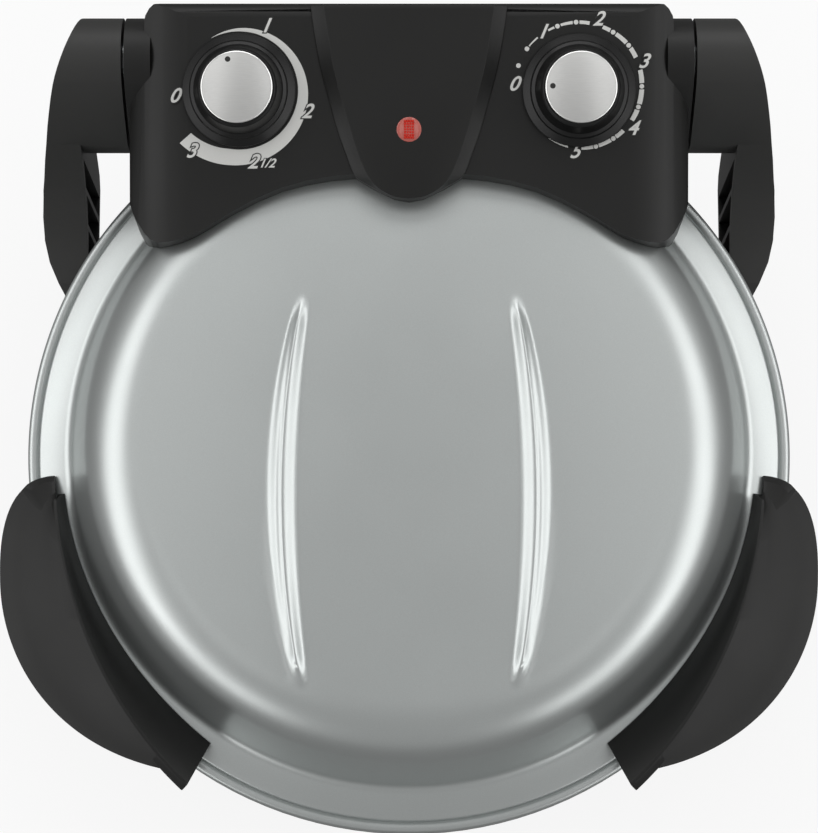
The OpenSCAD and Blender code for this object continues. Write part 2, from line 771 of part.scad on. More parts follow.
// The seven corners of the handle's section at the share t of its length
function handle_section(t) = let (
    ridge = curve_at(ridge_curve, t),
    foot = curve_at(foot_curve, t),
    ahead = curve_at(ridge_curve, t + 0.01) - curve_at(ridge_curve, t - 0.01),
    out = unit([-ahead[1], ahead[0]]),
    outer = t < grip_share ? outer_at(t / grip_share) : ridge + out * (plate_t + 0.5),
    joined = min(1, pow(t / grip_share, 6)),
    edge_top = (rim_z + 7 + 4 * t) * (1 - joined) + (ridge_z(t) - 1) * joined) [
    above_lid(foot, lid_z + 7.3),
    above_lid(ridge - out * 0.6, ridge_z(t)),
    above_lid(ridge + out * 0.6, ridge_z(t)),
    above_lid(outer, max(edge_top, flange_at(norm(outer)) + lid_gap + 1.5)),
    above_lid(outer - out * 0.4, max(edge_top - plate_t, lid_z + 7.6 - max(0, norm(outer) - rim_r - 3))),
    above_lid(ridge + out * 0.3, ridge_z(t) - plate_t * 1.2),
    above_lid(foot + out * plate_t, lid_z + 7.3)];

module handle_shell() {
    points = [for (i = [0:grip_steps]) each handle_section(0.02 + 0.98 * i / grip_steps)];
    sides = [for (i = [0:grip_steps - 1]) for (k = [0:6]) let (
        a = i * 7 + k, b = i * 7 + (k + 1) % 7) each [[a, b, b + 7], [a, b + 7, a + 7]]];
    cap = [[0, 1, 6], [1, 5, 6], [1, 2, 5], [2, 4, 5], [2, 3, 4]];
    first = [for (f = cap) reversed(f)];
    last = [for (f = cap) f + [1, 1, 1] * 7 * grip_steps];
    polyhedron(points, concat(sides, first, last));
}

module lid_handle() {
    difference() {
        union() {
            handle_shell();
            for (k = [0:2]) {
                z = flange_at(flange_end[0] - handle_screws[k][1] - handle_boss_r) + lid_gap;
                handle_screw_place(k) translate([0, 0, z]) cylinder(r = handle_boss_r, h = 4.5, $fn = 48);
            }
        }
        for (k = [0:2])
            handle_screw_place(k) translate([0, 0, lid_z]) cylinder(r = screw_r + pin_gap, h = 12.4);
    }
}

module left_lid_handle() {
    color(black_plastic) placed() mirror([1, 0, 0]) lid_handle();
}

module right_lid_handle() {
    color(black_plastic) placed() lid_handle();
}

handle_screw_head = 2.6;

// Height at which a screw's head bears on the underside of the flange or its rim
function flange_bearing(r, head) = r + head > flange_end[0] ? lid_z + 4.6
    : flange_at(r + head) - 0.4 - sheet_t / cos(flange_rise);

module lid_handle_screws() {
    color(bright_steel) placed() for (side = [-1, 1]) scale_x(side)
        for (k = [0:2]) {
            z = flange_bearing(flange_end[0] - handle_screws[k][1], handle_screw_head);
            handle_screw_place(k) translate([0, 0, z])
                screw(lid_z + 12 - z, head = handle_screw_head, h = 1.6);
        }
}

// Control housing
half_plan = concat(
    [[0, rear_y]],
    [for (p = arc([103, 11.5], 8, 90, 0, 4)) [plan_x(p[0]), hinge_y + p[1]]],
    [for (p = [[111, -7.7], [118.5, -22], [118.5, -60], [116.5, -65.9], [114, -70.8], [111.3, -75.7],
        [108.4, -79.1], [105.1, -80.8], [100.3, -80.9], [95, -80], [89.7, -78.1], [84.5, -75.2],
        [79.3, -71.9], [74.1, -68.8], [63.6, -63.1], [53.2, -58.6], [42.7, -55.8], [32.2, -53.9],
        [22.4, -53], [14.4, -58.2], [6, -62.4], [0, -63.6]])
        [plan_x(p[0]), hinge_y + p[1]]]);
// Counter-clockwise: up the right side, then down the left
housing_plan = concat(reversed(tail(half_plan)), [half_plan[0]],
    mirrored([for (i = [1:len(half_plan) - 2]) half_plan[i]]));
side_round_w = 26.5 * wide;
side_round_h = 22;
top_round = 6;
housing_z = lid_z + 7.5;

// Height of the panel's plane at a distance from the bowl's axis
function panel_z(y) = dome_z + 2 + (y - panel_front_y) * tan(panel_tilt);

// A place on the panel, with Z along the panel's normal
module on_panel(x, y) {
    translate([x, y, panel_z(y)]) rotate([panel_tilt, 0, 0]) children();
}

// Half of the cross-section under the panel, drawn in by d
function panel_half(d) = concat(
    [for (a = [90:-11.25:0]) [housing_w - side_round_w + (side_round_w - d) * cos(a),
        -side_round_h + (side_round_h - d) * sin(a)]],
    [[housing_w - d, -120]]);

module housing_block(d) {
    round_c = [rear_y - top_round, panel_z(rear_y - top_round) - top_round / cos(panel_tilt)];
    rear_round = arc(round_c, top_round - d, 0, 90 + panel_tilt, 6);
    intersection() {
        translate([0, 0, housing_z - d * 4]) linear_extrude(90 + d * 4) polygon(inset(housing_plan, d));
        on_panel(0, panel_front_y)
            along_y(-60, 140) polygon(concat(reversed(mirrored(panel_half(d))), panel_half(d)));
        along_x(-housing_w - 10, housing_w + 10) polygon(concat(
            [[hinge_y - 110, 0], [rear_y - d, 0]], rear_round,
            [rear_round[6] + [-30, 20], [hinge_y - 110, rear_round[6][1] + 20]]));
    }
}

tongue_half = [[35.6, 17], [31.6, -6.4], [29.7, -16.9], [24.3, -34.3], [18.5, -50.7], [16, -54.6], [12, -58],
    [6.5, -60.3], [0, -61.2]];
tongue_plan = let (half = [for (p = tongue_half) [p[0] * wide, hinge_y + p[1]]])
    concat(reversed(half), mirrored([for (i = [0:len(half) - 2]) half[i]]));

module tongue() {
    intersection() {
        on_panel(0, panel_front_y) translate([0, 0, -1]) linear_extrude(tongue_h + 1)
            polygon([for (p = tongue_plan) [p[0], (p[1] - panel_front_y) / cos(panel_tilt)]]);
        translate([-100, 0, 0]) cube([200, rear_y - 3, 300]);
    }
}

// Neck that carries the hinge pin's bore
module neck() {
    intersection() {
        along_x(housing_w - 10.5, neck_x) polygon(arm_side);
        along_x(housing_w - 11, neck_x + 1) polygon(boss_side);
    }
}

module control_housing() {
    color(black_plastic) placed() difference() {
        union() {
            difference() {
                housing_block(0);
                housing_block(wall_t);
            }
            tongue();
            for (side = [-1, 1]) scale_x(side) {
                neck();
                intersection() {
                    housing_block(wall_t / 2);
                    for (a = housing_screw_a)
                        polar(housing_screw_r, a) cylinder(r = 4, h = dome_z + 40);
                }
            }
        }
        filled_lid(lid_gap);
        for (side = [-1, 1]) scale_x(side) {
            translate([housing_w - 12, hinge_y, hinge_z]) rotate([0, 90, 0])
                cylinder(r = pin_r + pin_gap, h = 20);
            for (a = housing_screw_a)
                polar(housing_screw_r, a) translate([0, 0, lid_z]) cylinder(r = screw_r + pin_gap, h = 26);
            on_panel(knob_x, knob_y) translate([0, 0, -10]) cylinder(r = bushing_r + hole_gap, h = 20);
        }
        on_panel(0, lamp_y) translate([0, 0, -10]) cylinder(r = lens_r + hole_gap, h = 20);
        translate([gland_x, rear_y - 10, gland_z]) rotate([-90, 0, 0])
            cylinder(r = gland_r + hole_gap, h = 20);
    }
}

module housing_cover() {
    color(bright_steel) placed() difference() {
        translate([0, 0, cover_z]) linear_extrude(cover_t) polygon(inset(housing_plan, wall_t + lid_gap));
        translate([0, 0, cover_z - 1]) cylinder(r = flange_end[0] - 8.6, h = 10, $fn = 128);
        for (side = [-1, 1])
            for (a = housing_screw_a)
                scale_x(side) polar(housing_screw_r, a) translate([0, 0, cover_z - 1])
                    cylinder(r = 4 + lid_gap, h = 10);
    }
}

module housing_screws() {
    color(bright_steel) placed() for (side = [-1, 1]) scale_x(side)
        for (a = housing_screw_a)
            polar(housing_screw_r, a) translate([0, 0, flange_bearing(housing_screw_r, head_r)]) screw(18);
}

// Indicator lamp
lamp_top = tongue_h + 0.8;

bulb_r = 2;

module lamp_lens() {
    ribs = 7;
    color("#B01A1C") placed() on_panel(0, lamp_y) difference() {
        translate([0, 0, -wall_t - 1.6]) cylinder(r = lens_r, h = lamp_top + wall_t + 1.6);
        for (k = [0:ribs])
            translate([-lens_r - 1, (k - ribs / 2) * 1.3 - 0.2, lamp_top - 0.4])
                cube([2 * lens_r + 2, 0.4, 1]);
        translate([0, 0, -wall_t - 3]) cylinder(r = lens_r - 1.2, h = 5);
    }
}

module lens_clip() {
    color(bright_steel) placed() on_panel(0, lamp_y) translate([0, 0, -wall_t - 1.4])
        ring(8, lens_r + 0.05, 1.2);
}

module neon_lamp() {
    color("#D8A060") placed() on_panel(0, lamp_y) translate([0, 0, -wall_t - 4.2]) {
        cylinder(r = bulb_r, h = 3.4);
        translate([0, 0, 3.4]) sphere(r = bulb_r);
    }
}

// Thermostat and timer under the panel
bushing_r = 4.7;
nut_t = 1.6;

module panel_nut() {
    difference() {
        cylinder(r = 7.5, h = nut_t, $fn = 6);
        translate([0, 0, -1]) cylinder(r = bushing_r + pin_fit, h = nut_t + 2);
    }
}

// Threaded bushing of a control, with the bore for its shaft
module bushing() {
    translate([0, 0, -wall_t - 0.5]) cylinder(r = bushing_r, h = wall_t + 0.5 + nut_t);
}

module shaft_bore(depth) {
    translate([0, 0, -depth]) cylinder(r = shaft_r + pin_gap, h = depth + 10);
}

module thermostat_body() {
    color("#C9C6BE") placed() on_panel(knob_x * -1, knob_y) difference() {
        union() {
            translate([-17, -13, -20.6]) cube([34, 26, 18]);
            bushing();
            for (x = [-9, 9])
                translate([x - 3, 4, -25]) cube([6, 0.8, 5]);
        }
        shaft_bore(14);
    }
}

module thermostat_nut() {
    color(bright_steel) placed() on_panel(-knob_x, knob_y) panel_nut();
}

module timer_body() {
    color(bright_steel) placed() on_panel(knob_x, knob_y) difference() {
        union() {
            translate([0, 0, -27]) cylinder(r = 20.5, h = 24.4);
            bushing();
        }
        shaft_bore(18);
    }
}

module timer_bell() {
    color("#B9A36A") placed() on_panel(knob_x, knob_y) translate([0, 0, -33.5]) difference() {
        union() {
            cylinder(r = 17, h = 4.5);
            translate([0, 0, 4.5]) cylinder(r = 4, h = 2);
        }
        translate([0, 0, 1]) ring(16, 4, 5);
    }
}

module timer_nut() {
    color(bright_steel) placed() on_panel(knob_x, knob_y) panel_nut();
}

module shaft() {
    translate([0, 0, -11]) cylinder(r = shaft_r, h = 11 + knob_h - 6, $fn = 48);
}

module thermostat_shaft() {
    color(bright_steel) placed() on_panel(-knob_x, knob_y) shaft();
}

module timer_shaft() {
    color(bright_steel) placed() on_panel(knob_x, knob_y) shaft();
}

// Knobs: a flanged skirt with a stepped, tapering grip, and a satin cap
knob_gap = 0.8;
cap_seat = knob_h - 4;
step_r = knob_r - 3.8;
grip_r = cap_r + 1.2;

module knob_skirt() {
    difference() {
        rotate_extrude($fn = 96) polygon([[shaft_r, knob_gap + 3], [9, knob_gap + 3], [9, knob_gap],
            [knob_r - 0.6, knob_gap], [knob_r, knob_gap + 0.6], [knob_r, knob_gap + 1.2],
            [step_r + 0.4, 5], [step_r, 6.2], [step_r - 1.2, 6.8], [grip_r, knob_h - 3.5],
            [grip_r - 0.6, cap_seat], [shaft_r, cap_seat]]);
        translate([0, 0, -1]) cylinder(r = 8.6, h = knob_gap + 3.2);
        translate([0, 0, -1]) cylinder(r = shaft_r + pin_fit, h = knob_h);
    }
}

// The cap, with its dot at the angle a
module knob_cap(a) {
    difference() {
        translate([0, 0, cap_seat]) rotate_extrude($fn = 96)
            polygon([[0, 0], [cap_r, 0], [cap_r, 3], [cap_r - 0.8, 3.6], [cap_r * 0.5, 4], [0, 4]]);
        rotate(a) translate([cap_r - 3, 0, cap_seat + 3]) cylinder(r = 1, h = 3, $fn = 24);
        translate([0, 0, -1]) cylinder(r = shaft_r + pin_fit, h = knob_h - 4.8);
    }
}

module temp_knob_skirt() {
    color(black_plastic) placed() on_panel(-knob_x, knob_y) knob_skirt();
}

module temp_knob_cap() {
    color(satin_steel) placed() on_panel(-knob_x, knob_y) knob_cap(107.7);
}

module timer_knob_skirt() {
    color(black_plastic) placed() on_panel(knob_x, knob_y) knob_skirt();
}

module timer_knob_cap() {
    color(satin_steel) placed() on_panel(knob_x, knob_y) knob_cap(178.5);
}

// Wiring inside the housing
block_size = [36, 14, 14];
block_top = cover_z + cover_t + block_size[2];

module terminal_block() {
    color("#DAD6CC") placed() translate([0, terminal_y, cover_z + cover_t]) difference() {
        translate([-block_size[0] / 2, -block_size[1] / 2, 0]) cube(block_size);
        for (k = [-1.5:1.5])
            translate([k * 8.4, 0, block_size[2] - 5]) cylinder(r = 2.2, h = 6, $fn = 32);
    }
}

module control_wires() {
    top = block_top + wire_r;
    over = dome_z + 2;
    color("#8A2F2A") placed() {
        for (side = [-1, 1]) {
            x = side * upper_end_x;
            cable([[x, heater_up_y + 2.8, over - 1.2], [x, heater_up_y + 8, over], [x, hinge_y - 22, over],
                [side * 12.6, hinge_y - 7, dome_z - 18], [side * 12.6, terminal_y - 4, top]], wire_r);
        }
        cable([[knob_x - 17, knob_y + 18.5, panel_z(knob_y) - 12], [44, hinge_y + 1, dome_z - 12],
            [28, hinge_y + 2, dome_z - 26], [15, terminal_y + 3, top]], wire_r);
        cable([[-knob_x + 10, knob_y + 17, panel_z(knob_y) - 9], [-knob_x + 16, hinge_y + 1.5, dome_z - 6],
            [-28, hinge_y + 2, dome_z - 26], [-15, terminal_y + 3, top]], wire_r);
        cable([[0, lamp_y + bulb_r + wire_r + 0.2, panel_z(lamp_y) - 4.7], [0, hinge_y - 22, over + 1],
            [0, hinge_y - 11, dome_z - 16], [-4.2, terminal_y - 2, top]], wire_r);
        cable([[lead_end_x - 3, hinge_y, hinge_z], [knob_x + 14, hinge_y + 11, dome_z - 10],
            [50, hinge_y + 11, dome_z - 28], [4.2, terminal_y + 3, top]], wire_r);
        cable([concat(cutout_place + [4, 8.5], hood_z + 3.5), concat(cutout_hole, hood_z + 6),
            concat(cutout_hole, over - 0.8), [cutout_hole[0] + 4, hinge_y - 22, over - 0.8],
            [-20, hinge_y - 7, dome_z - 18], [-6, terminal_y + 4, top]], wire_r);
    }
}

// Cord gland in the housing's rear wall
gland_z = lid_z + 33.4;
gland_r = 6;

module cord_gland() {
    color("#1E1E1E") placed() translate([gland_x, rear_y, gland_z]) rotate([-90, 0, 0]) difference() {
        union() {
            translate([0, 0, -wall_t - 3.2]) cylinder(r = gland_r, h = wall_t + 4.2);
            translate([0, 0, 0.05]) cylinder(r = 9, h = 2);
            translate([0, 0, 2]) cylinder(r1 = 7, r2 = 6, h = gland_out - 2);
            translate([0, 0, -wall_t - 3]) ring(8.5, gland_r - 0.5, 2.8);
        }
        translate([0, 0, -10]) cylinder(r = 3.4, h = 30);
    }
}

base_shell();
base_reflector();
baking_stone();
lower_heater();
lower_heater_clips();
lower_heater_bushes();
left_hinge_arm();
right_hinge_arm();
left_hinge_pin();
right_hinge_pin();
hinge_washers();
pin_clips();
arm_screws();
left_base_handle();
right_base_handle();
base_handle_screws();
rubber_feet();
feet_screws();
heater_lead();
lid_shell();
lid_reflector();
upper_heater();
upper_heater_clips();
upper_heater_bushes();
left_lid_handle();
right_lid_handle();
lid_handle_screws();
control_housing();
housing_cover();
housing_screws();
lamp_lens();
lens_clip();
neon_lamp();
thermostat_body();
thermostat_nut();
timer_body();
timer_bell();
timer_nut();
terminal_block();
thermal_cutout();
control_wires();
cord_gland();
temp_knob_skirt();
temp_knob_cap();
thermostat_shaft();
timer_knob_skirt();
timer_knob_cap();
timer_shaft();
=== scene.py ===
import math

import bmesh
import bpy
from bpy.props import FloatProperty, FloatVectorProperty, PointerProperty
from mathutils import Matrix, Vector


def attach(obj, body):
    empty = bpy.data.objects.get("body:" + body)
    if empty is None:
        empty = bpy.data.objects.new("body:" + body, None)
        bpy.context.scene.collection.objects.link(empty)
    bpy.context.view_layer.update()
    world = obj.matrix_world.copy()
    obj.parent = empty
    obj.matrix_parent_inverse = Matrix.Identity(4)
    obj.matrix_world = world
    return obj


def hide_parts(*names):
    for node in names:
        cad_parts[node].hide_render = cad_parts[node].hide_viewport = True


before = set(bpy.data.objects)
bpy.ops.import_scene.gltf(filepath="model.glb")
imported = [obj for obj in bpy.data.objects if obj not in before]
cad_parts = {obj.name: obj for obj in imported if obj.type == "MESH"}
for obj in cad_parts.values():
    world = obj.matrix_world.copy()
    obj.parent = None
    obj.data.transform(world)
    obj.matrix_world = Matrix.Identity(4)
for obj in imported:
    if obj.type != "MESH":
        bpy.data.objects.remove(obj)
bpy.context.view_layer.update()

bl_info = {
    "name": "Countertop pizza maker",
    "version": (1, 0, 0),
    "blender": (4, 5, 0),
    "location": "View3D > Sidebar > Pizza maker",
    "description": "Builds the visible pieces of a countertop pizza maker round its packed frame",
    "category": "Object",
}

# Sizes are in millimetres, from the bowl's axis, as in the part's source
MM = 0.001
SHIFT_Y = -10.25
RIM_R, RIM_Z, LID_Z, DOME_Z = 166.5, 80.0, 80.6, 140.0
SHEET = 1.2
HINGE_Y = 161.5
# The housing's sloped panel, whose front edge stands a step above the crown's top
PANEL_TILT = math.radians(11.5)
PANEL_FRONT_Y, PANEL_STEP = 97.5, 2.0
KNOB_X, KNOB_Y = 72.0, 143.1
LAMP_Y = 126.7


# ---------- colours and materials ----------

def linear(code):
    """An sRGB hex colour as linear red, green, blue and alpha."""
    parts = [int(code[i:i + 2], 16) / 255 for i in (1, 3, 5)]
    return [c / 12.92 if c <= 0.04045 else ((c + 0.055) / 1.055) ** 2.4 for c in parts] + [1.0]


def add(tree, kind, sockets=None, **settings):
    """Adds one shader node with its settings, socket values and links, and returns it."""
    made = tree.nodes.new(kind)
    for name, value in settings.items():
        setattr(made, name, value)
    for name, value in (sockets or {}).items():
        if isinstance(value, bpy.types.NodeSocket):
            tree.links.new(value, made.inputs[name])
        else:
            made.inputs[name].default_value = value
    return made


# The grain in mm of the slow changes, and the part of a noise texture's values that is used
SLOW_GRAIN = 45.0
NOISE_RANGE = {"From Min": 0.3, "From Max": 0.7}


def surface(name, colour, metallic, roughness, grain, bump, mottle, stretch=(1, 1, 1), rough_range=0.08,
            **extra):
    """A finish with a fine relief of the given grain in mm, and slow changes of its gloss and shade."""
    material = bpy.data.materials.new(name)
    material.use_nodes = True
    tree = material.node_tree
    tree.nodes.clear()
    place = add(tree, "ShaderNodeTexCoord").outputs["Object"]
    drawn = add(tree, "ShaderNodeMapping", {"Vector": place, "Scale": stretch}).outputs["Vector"]
    fine = add(tree, "ShaderNodeTexNoise", {"Vector": drawn, "Scale": 1 / (grain * MM), "Detail": 3.0})
    slow = add(tree, "ShaderNodeTexNoise", {"Vector": drawn, "Scale": 1 / (SLOW_GRAIN * MM), "Detail": 2.0})
    gloss = add(tree, "ShaderNodeMapRange", {
        "Value": slow.outputs["Fac"], **NOISE_RANGE,
        "To Min": max(0.02, roughness - rough_range / 2), "To Max": roughness + rough_range / 2})
    shade = add(tree, "ShaderNodeMapRange", {
        "Value": fine.outputs["Fac"], **NOISE_RANGE, "To Min": 1 - mottle, "To Max": 1 + mottle})
    tone = add(tree, "ShaderNodeVectorMath", {0: colour[:3], "Scale": shade.outputs["Result"]},
               operation="SCALE")
    relief = add(tree, "ShaderNodeBump", {
        "Height": fine.outputs["Fac"], "Strength": bump, "Distance": grain * MM * 0.5})
    sockets = {"Base Color": tone.outputs["Vector"], "Metallic": metallic,
               "Roughness": gloss.outputs["Result"], "Normal": relief.outputs["Normal"]}
    sockets.update(extra)
    shader = add(tree, "ShaderNodeBsdfPrincipled", sockets)
    add(tree, "ShaderNodeOutputMaterial", {"Surface": shader.outputs["BSDF"]})
    return material


# Each finish says what the real one is and what that gives the eye
FINISHES = {
    # Pressed steel with a satin silver stoving lacquer: broad soft highlights over a fine metallic grain
    "stoved_silver_lacquer": lambda c: dict(
        colour=c.dome, metallic=0.88, roughness=0.36, grain=0.5, bump=0.03, mottle=0.03, rough_range=0.03),
    # Pressed steel with black stoving paint: dark, half gloss, slight orange peel
    "black_stoving_paint": lambda c: dict(
        colour=c.bowl, metallic=0.0, roughness=0.35, grain=1.2, bump=0.05, mottle=0.05),
    # Glass-filled polyester or PBT, injection moulded in a spark-eroded tool: matt with a fine even texture
    "moulded_black_plastic": lambda c: dict(
        colour=c.plastic, metallic=0.0, roughness=0.5, grain=0.35, bump=0.1, mottle=0.08, rough_range=0.06,
        **{"Specular IOR Level": 0.36}),
    # Phenolic, compression moulded, for the hinge arms: black with a greyer bloom
    "moulded_phenolic": lambda c: dict(
        colour=c.arm, metallic=0.0, roughness=0.52, grain=0.35, bump=0.1, mottle=0.08, rough_range=0.06,
        **{"Specular IOR Level": 0.4}),
    # The housing's plastic from a polished tool: smoother, for the knobs
    "polished_black_plastic": lambda c: dict(
        colour=c.knob, metallic=0.0, roughness=0.33, grain=0.5, bump=0.03, mottle=0.04,
        **{"Specular IOR Level": 0.3}),
    # Aluminium disc, finely brushed and clear anodised: bright with a soft streak
    "brushed_anodised_aluminium": lambda c: dict(
        colour=c.knob_cap, metallic=1.0, roughness=0.34, grain=0.3, bump=0.05, mottle=0.03,
        stretch=(0.05, 1, 1)),
    # Rolled aluminised steel: a pale bright sheet with soft rolling marks
    "aluminised_sheet": lambda c: dict(
        colour=linear("#C9C8C4"), metallic=1.0, roughness=0.3, grain=0.6, bump=0.06, mottle=0.05,
        stretch=(1, 0.15, 1)),
    # Cordierite, pressed and fired: buff, dry and speckled
    "fired_cordierite": lambda c: dict(
        colour=linear("#C9B896"), metallic=0.0, roughness=0.85, grain=1.0, bump=0.35, mottle=0.12),
    # Annealed steel sheath of a tubular heater: dark grey-green oxide
    "oxidised_heater_sheath": lambda c: dict(
        colour=linear("#3F3D3A"), metallic=0.6, roughness=0.5, grain=0.8, bump=0.1, mottle=0.12),
    # Zinc-plated steel fasteners and brackets: pale, slightly blue, half bright
    "zinc_plate": lambda c: dict(
        colour=linear("#C2C5C6"), metallic=1.0, roughness=0.3, grain=0.4, bump=0.05, mottle=0.06),
    # Glazed steatite: near white and glossy
    "glazed_steatite": lambda c: dict(
        colour=linear("#E4DED0"), metallic=0.0, roughness=0.18, grain=1.5, bump=0.02, mottle=0.02),
    # Moulded nitrile rubber: dull black
    "moulded_rubber": lambda c: dict(
        colour=linear("#1C1C1C"), metallic=0.0, roughness=0.75, grain=0.5, bump=0.12, mottle=0.05),
    # Silicone-coated glass braid: brick red with a fine woven relief
    "silicone_sleeve": lambda c: dict(
        colour=linear("#8C3A2C"), metallic=0.0, roughness=0.55, grain=0.7, bump=0.3, mottle=0.1),
    # Moulded polyamide, natural beige
    "beige_polyamide": lambda c: dict(
        colour=linear("#D8D0BA"), metallic=0.0, roughness=0.42, grain=0.6, bump=0.05, mottle=0.03),
    # Brass, turned
    "turned_brass": lambda c: dict(
        colour=linear("#C7A45A"), metallic=1.0, roughness=0.3, grain=0.5, bump=0.04, mottle=0.04),
    # Pad-printed ink: pale warm grey, flat
    "printed_ink": lambda c: dict(
        colour=c.ink, metallic=0.0, roughness=0.5, grain=0.3, bump=0.05, mottle=0.03),
    # The same ink in black, which parts the numerals from the band behind them
    "printed_black_ink": lambda c: dict(
        colour=linear("#1B1B1A"), metallic=0.0, roughness=0.5, grain=0.3, bump=0.05, mottle=0.03),
    # Acrylic, clear red with a bright moulded surface
    "clear_red_acrylic": lambda c: dict(
        colour=c.lamp, metallic=0.0, roughness=0.12, grain=2.0, bump=0.01, mottle=0.02, rough_range=0.02,
        **{"Transmission Weight": 0.25, "IOR": 1.49, "Coat Weight": 0.5}),
    # The prism strip moulded into the lens: deeper red, with a faint emission that is painted light,
    # standing in for the light its prisms catch and turn
    "red_prism_strip_painted_glow": lambda c: dict(
        colour=linear("#B02418"), metallic=0.0, roughness=0.2, grain=1.0, bump=0.02, mottle=0.03,
        **{"Emission Color": linear("#C03020"), "Emission Strength": 0.12}),
    # Clear glass bulb with an orange glow gap
    "lamp_glass": lambda c: dict(
        colour=linear("#E8B090"), metallic=0.0, roughness=0.08, grain=2.0, bump=0.0, mottle=0.0,
        **{"Transmission Weight": 0.6}),
}

_finishes = {}


def finish(kind):
    """The material of the given name, made once."""
    if kind not in _finishes:
        values = FINISHES[kind](bpy.context.scene.pizza_maker_colours)
        _finishes[kind] = surface(kind, **values)
    return _finishes[kind]


# ---------- shapes ----------

def polar(r, a):
    """The point at a radius and an angle in degrees."""
    return (r * math.cos(math.radians(a)), r * math.sin(math.radians(a)))


def arc(c, r, a0, a1, n=8):
    """Points of an arc about c from the angle a0 to a1 in degrees."""
    angles = [math.radians(a0 + (a1 - a0) * i / n) for i in range(n + 1)]
    return [(c[0] + r * math.cos(a), c[1] + r * math.sin(a)) for a in angles]


def curve_at(p, t):
    """Point of a cubic curve with the four control points p."""
    s = 1 - t
    weights = (s ** 3, 3 * s * s * t, 3 * s * t * t, t ** 3)
    return tuple(sum(w * q[k] for w, q in zip(weights, p)) for k in range(len(p[0])))


def beside(line, d):
    """An open line moved by d to its left, with mitred corners; a point on the axis stays on it."""
    points = [Vector(p) for p in line]
    moved = []
    for k, p in enumerate(points):
        before = (p - points[k - 1]).normalized() if k else None
        after = (points[k + 1] - p).normalized() if k < len(points) - 1 else None
        sides = [Vector((-v.y, v.x)) for v in (before or after, after or before)]
        q = p + d * (sides[0] + sides[1]) / (1 + sides[0].dot(sides[1]))
        moved.append((0.0 if abs(p.x) < 1e-9 else q.x, q.y))
    return moved


def rounded(points, radius, n=4):
    """A line with its inner corners rounded, each by at most half of its shorter side."""
    out = [points[0]]
    for before, p, after in zip(points, points[1:], points[2:]):
        b = Vector(p)
        u, v = Vector(before) - b, Vector(after) - b
        turn = u.angle(v, math.pi)
        if turn > math.radians(176) or min(u.length, v.length) < 1e-6:
            out.append(p)
            continue
        reach = min(radius / math.tan(turn / 2), u.length * 0.48, v.length * 0.48)
        start, end = b + u.normalized() * reach, b + v.normalized() * reach
        for i in range(n + 1):
            t = i / n
            q = start * (1 - t) ** 2 + b * 2 * t * (1 - t) + end * t * t
            out.append(tuple(q))
    return out + [points[-1]]


def spun(profile, steps, closed=False):
    """A bmesh of a profile of (radius, height) turned once round the Z axis."""
    bm = bmesh.new()
    verts = [bm.verts.new((r, 0, z)) for r, z in profile]
    pairs = list(zip(verts, verts[1:])) + ([(verts[-1], verts[0])] if closed else [])
    edges = [bm.edges.new(pair) for pair in pairs]
    bmesh.ops.spin(bm, geom=verts + edges, cent=(0, 0, 0), axis=(0, 0, 1), dvec=(0, 0, 0),
                   angle=math.tau, steps=steps, use_merge=True)
    return bm


def loop(bm, points):
    """Adds a closed loop of edges through the points and returns its edges."""
    verts = [bm.verts.new(p) for p in points]
    return [bm.edges.new((verts[k - 1], verts[k])) for k in range(len(verts))]


def lofted(sections):
    """A bmesh of a capped skin through closed sections that have the same number of points."""
    bm = bmesh.new()
    loops = [loop(bm, section) for section in sections]
    for a, b in zip(loops, loops[1:]):
        bmesh.ops.bridge_loops(bm, edges=a + b)
    for end in (loops[0], loops[-1]):
        bmesh.ops.contextual_create(bm, geom=end)
    return bm


def prism(outline, height):
    """A bmesh of an outline in the XY plane raised to a height."""
    bm = bmesh.new()
    base = bmesh.ops.contextual_create(bm, geom=loop(bm, [(x, y, 0) for x, y in outline]))["faces"]
    top = bmesh.ops.extrude_face_region(bm, geom=base)["geom"]
    bmesh.ops.translate(bm, verts=[v for v in top if isinstance(v, bmesh.types.BMVert)],
                        vec=(0, 0, height))
    return bm


def bevelled(bm, width, angle):
    """Rounds every edge of a bmesh that is sharper than the angle in degrees, and returns the bmesh."""
    bmesh.ops.recalc_face_normals(bm, faces=bm.faces)
    sharp = [e for e in bm.edges if len(e.link_faces) == 2
             and e.calc_face_angle(0) > math.radians(angle)]
    bmesh.ops.bevel(bm, geom=sharp, offset=width, offset_type="OFFSET", segments=2,
                    affect="EDGES", profile=0.5, material=-1, clamp_overlap=True)
    return bm


def on_panel(x, y):
    """The matrix of a place on the sloped panel, with its Z along the panel's normal."""
    height = DOME_Z + PANEL_STEP + (y - PANEL_FRONT_Y) * math.tan(PANEL_TILT)
    return Matrix.Translation((x, y, height)) @ Matrix.Rotation(PANEL_TILT, 4, "X")


def piece(name, bm, body, material, stands_for=(), angle=34, place=None, merge=1e-3):
    """Makes a bmesh drawn in millimetres a piece of the object, in place of the CAD nodes it stands for."""
    if place is not None:
        bmesh.ops.transform(bm, matrix=place, verts=bm.verts)
    bmesh.ops.remove_doubles(bm, verts=bm.verts, dist=merge)
    bmesh.ops.recalc_face_normals(bm, faces=bm.faces)
    to_frame = Matrix.Scale(MM, 4) @ Matrix.Translation((0, SHIFT_Y, 0))
    bmesh.ops.transform(bm, matrix=to_frame, verts=bm.verts)
    mesh = bpy.data.meshes.new(name)
    bm.to_mesh(mesh)
    bm.free()
    mesh.polygons.foreach_set("use_smooth", [True] * len(mesh.polygons))
    mesh.set_sharp_from_angle(angle=math.radians(angle))
    made = bpy.data.objects.new(name, mesh)
    bpy.context.scene.collection.objects.link(made)
    mesh.materials.append(finish(material))
    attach(made, body)
    for node in stands_for:
        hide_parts(node)


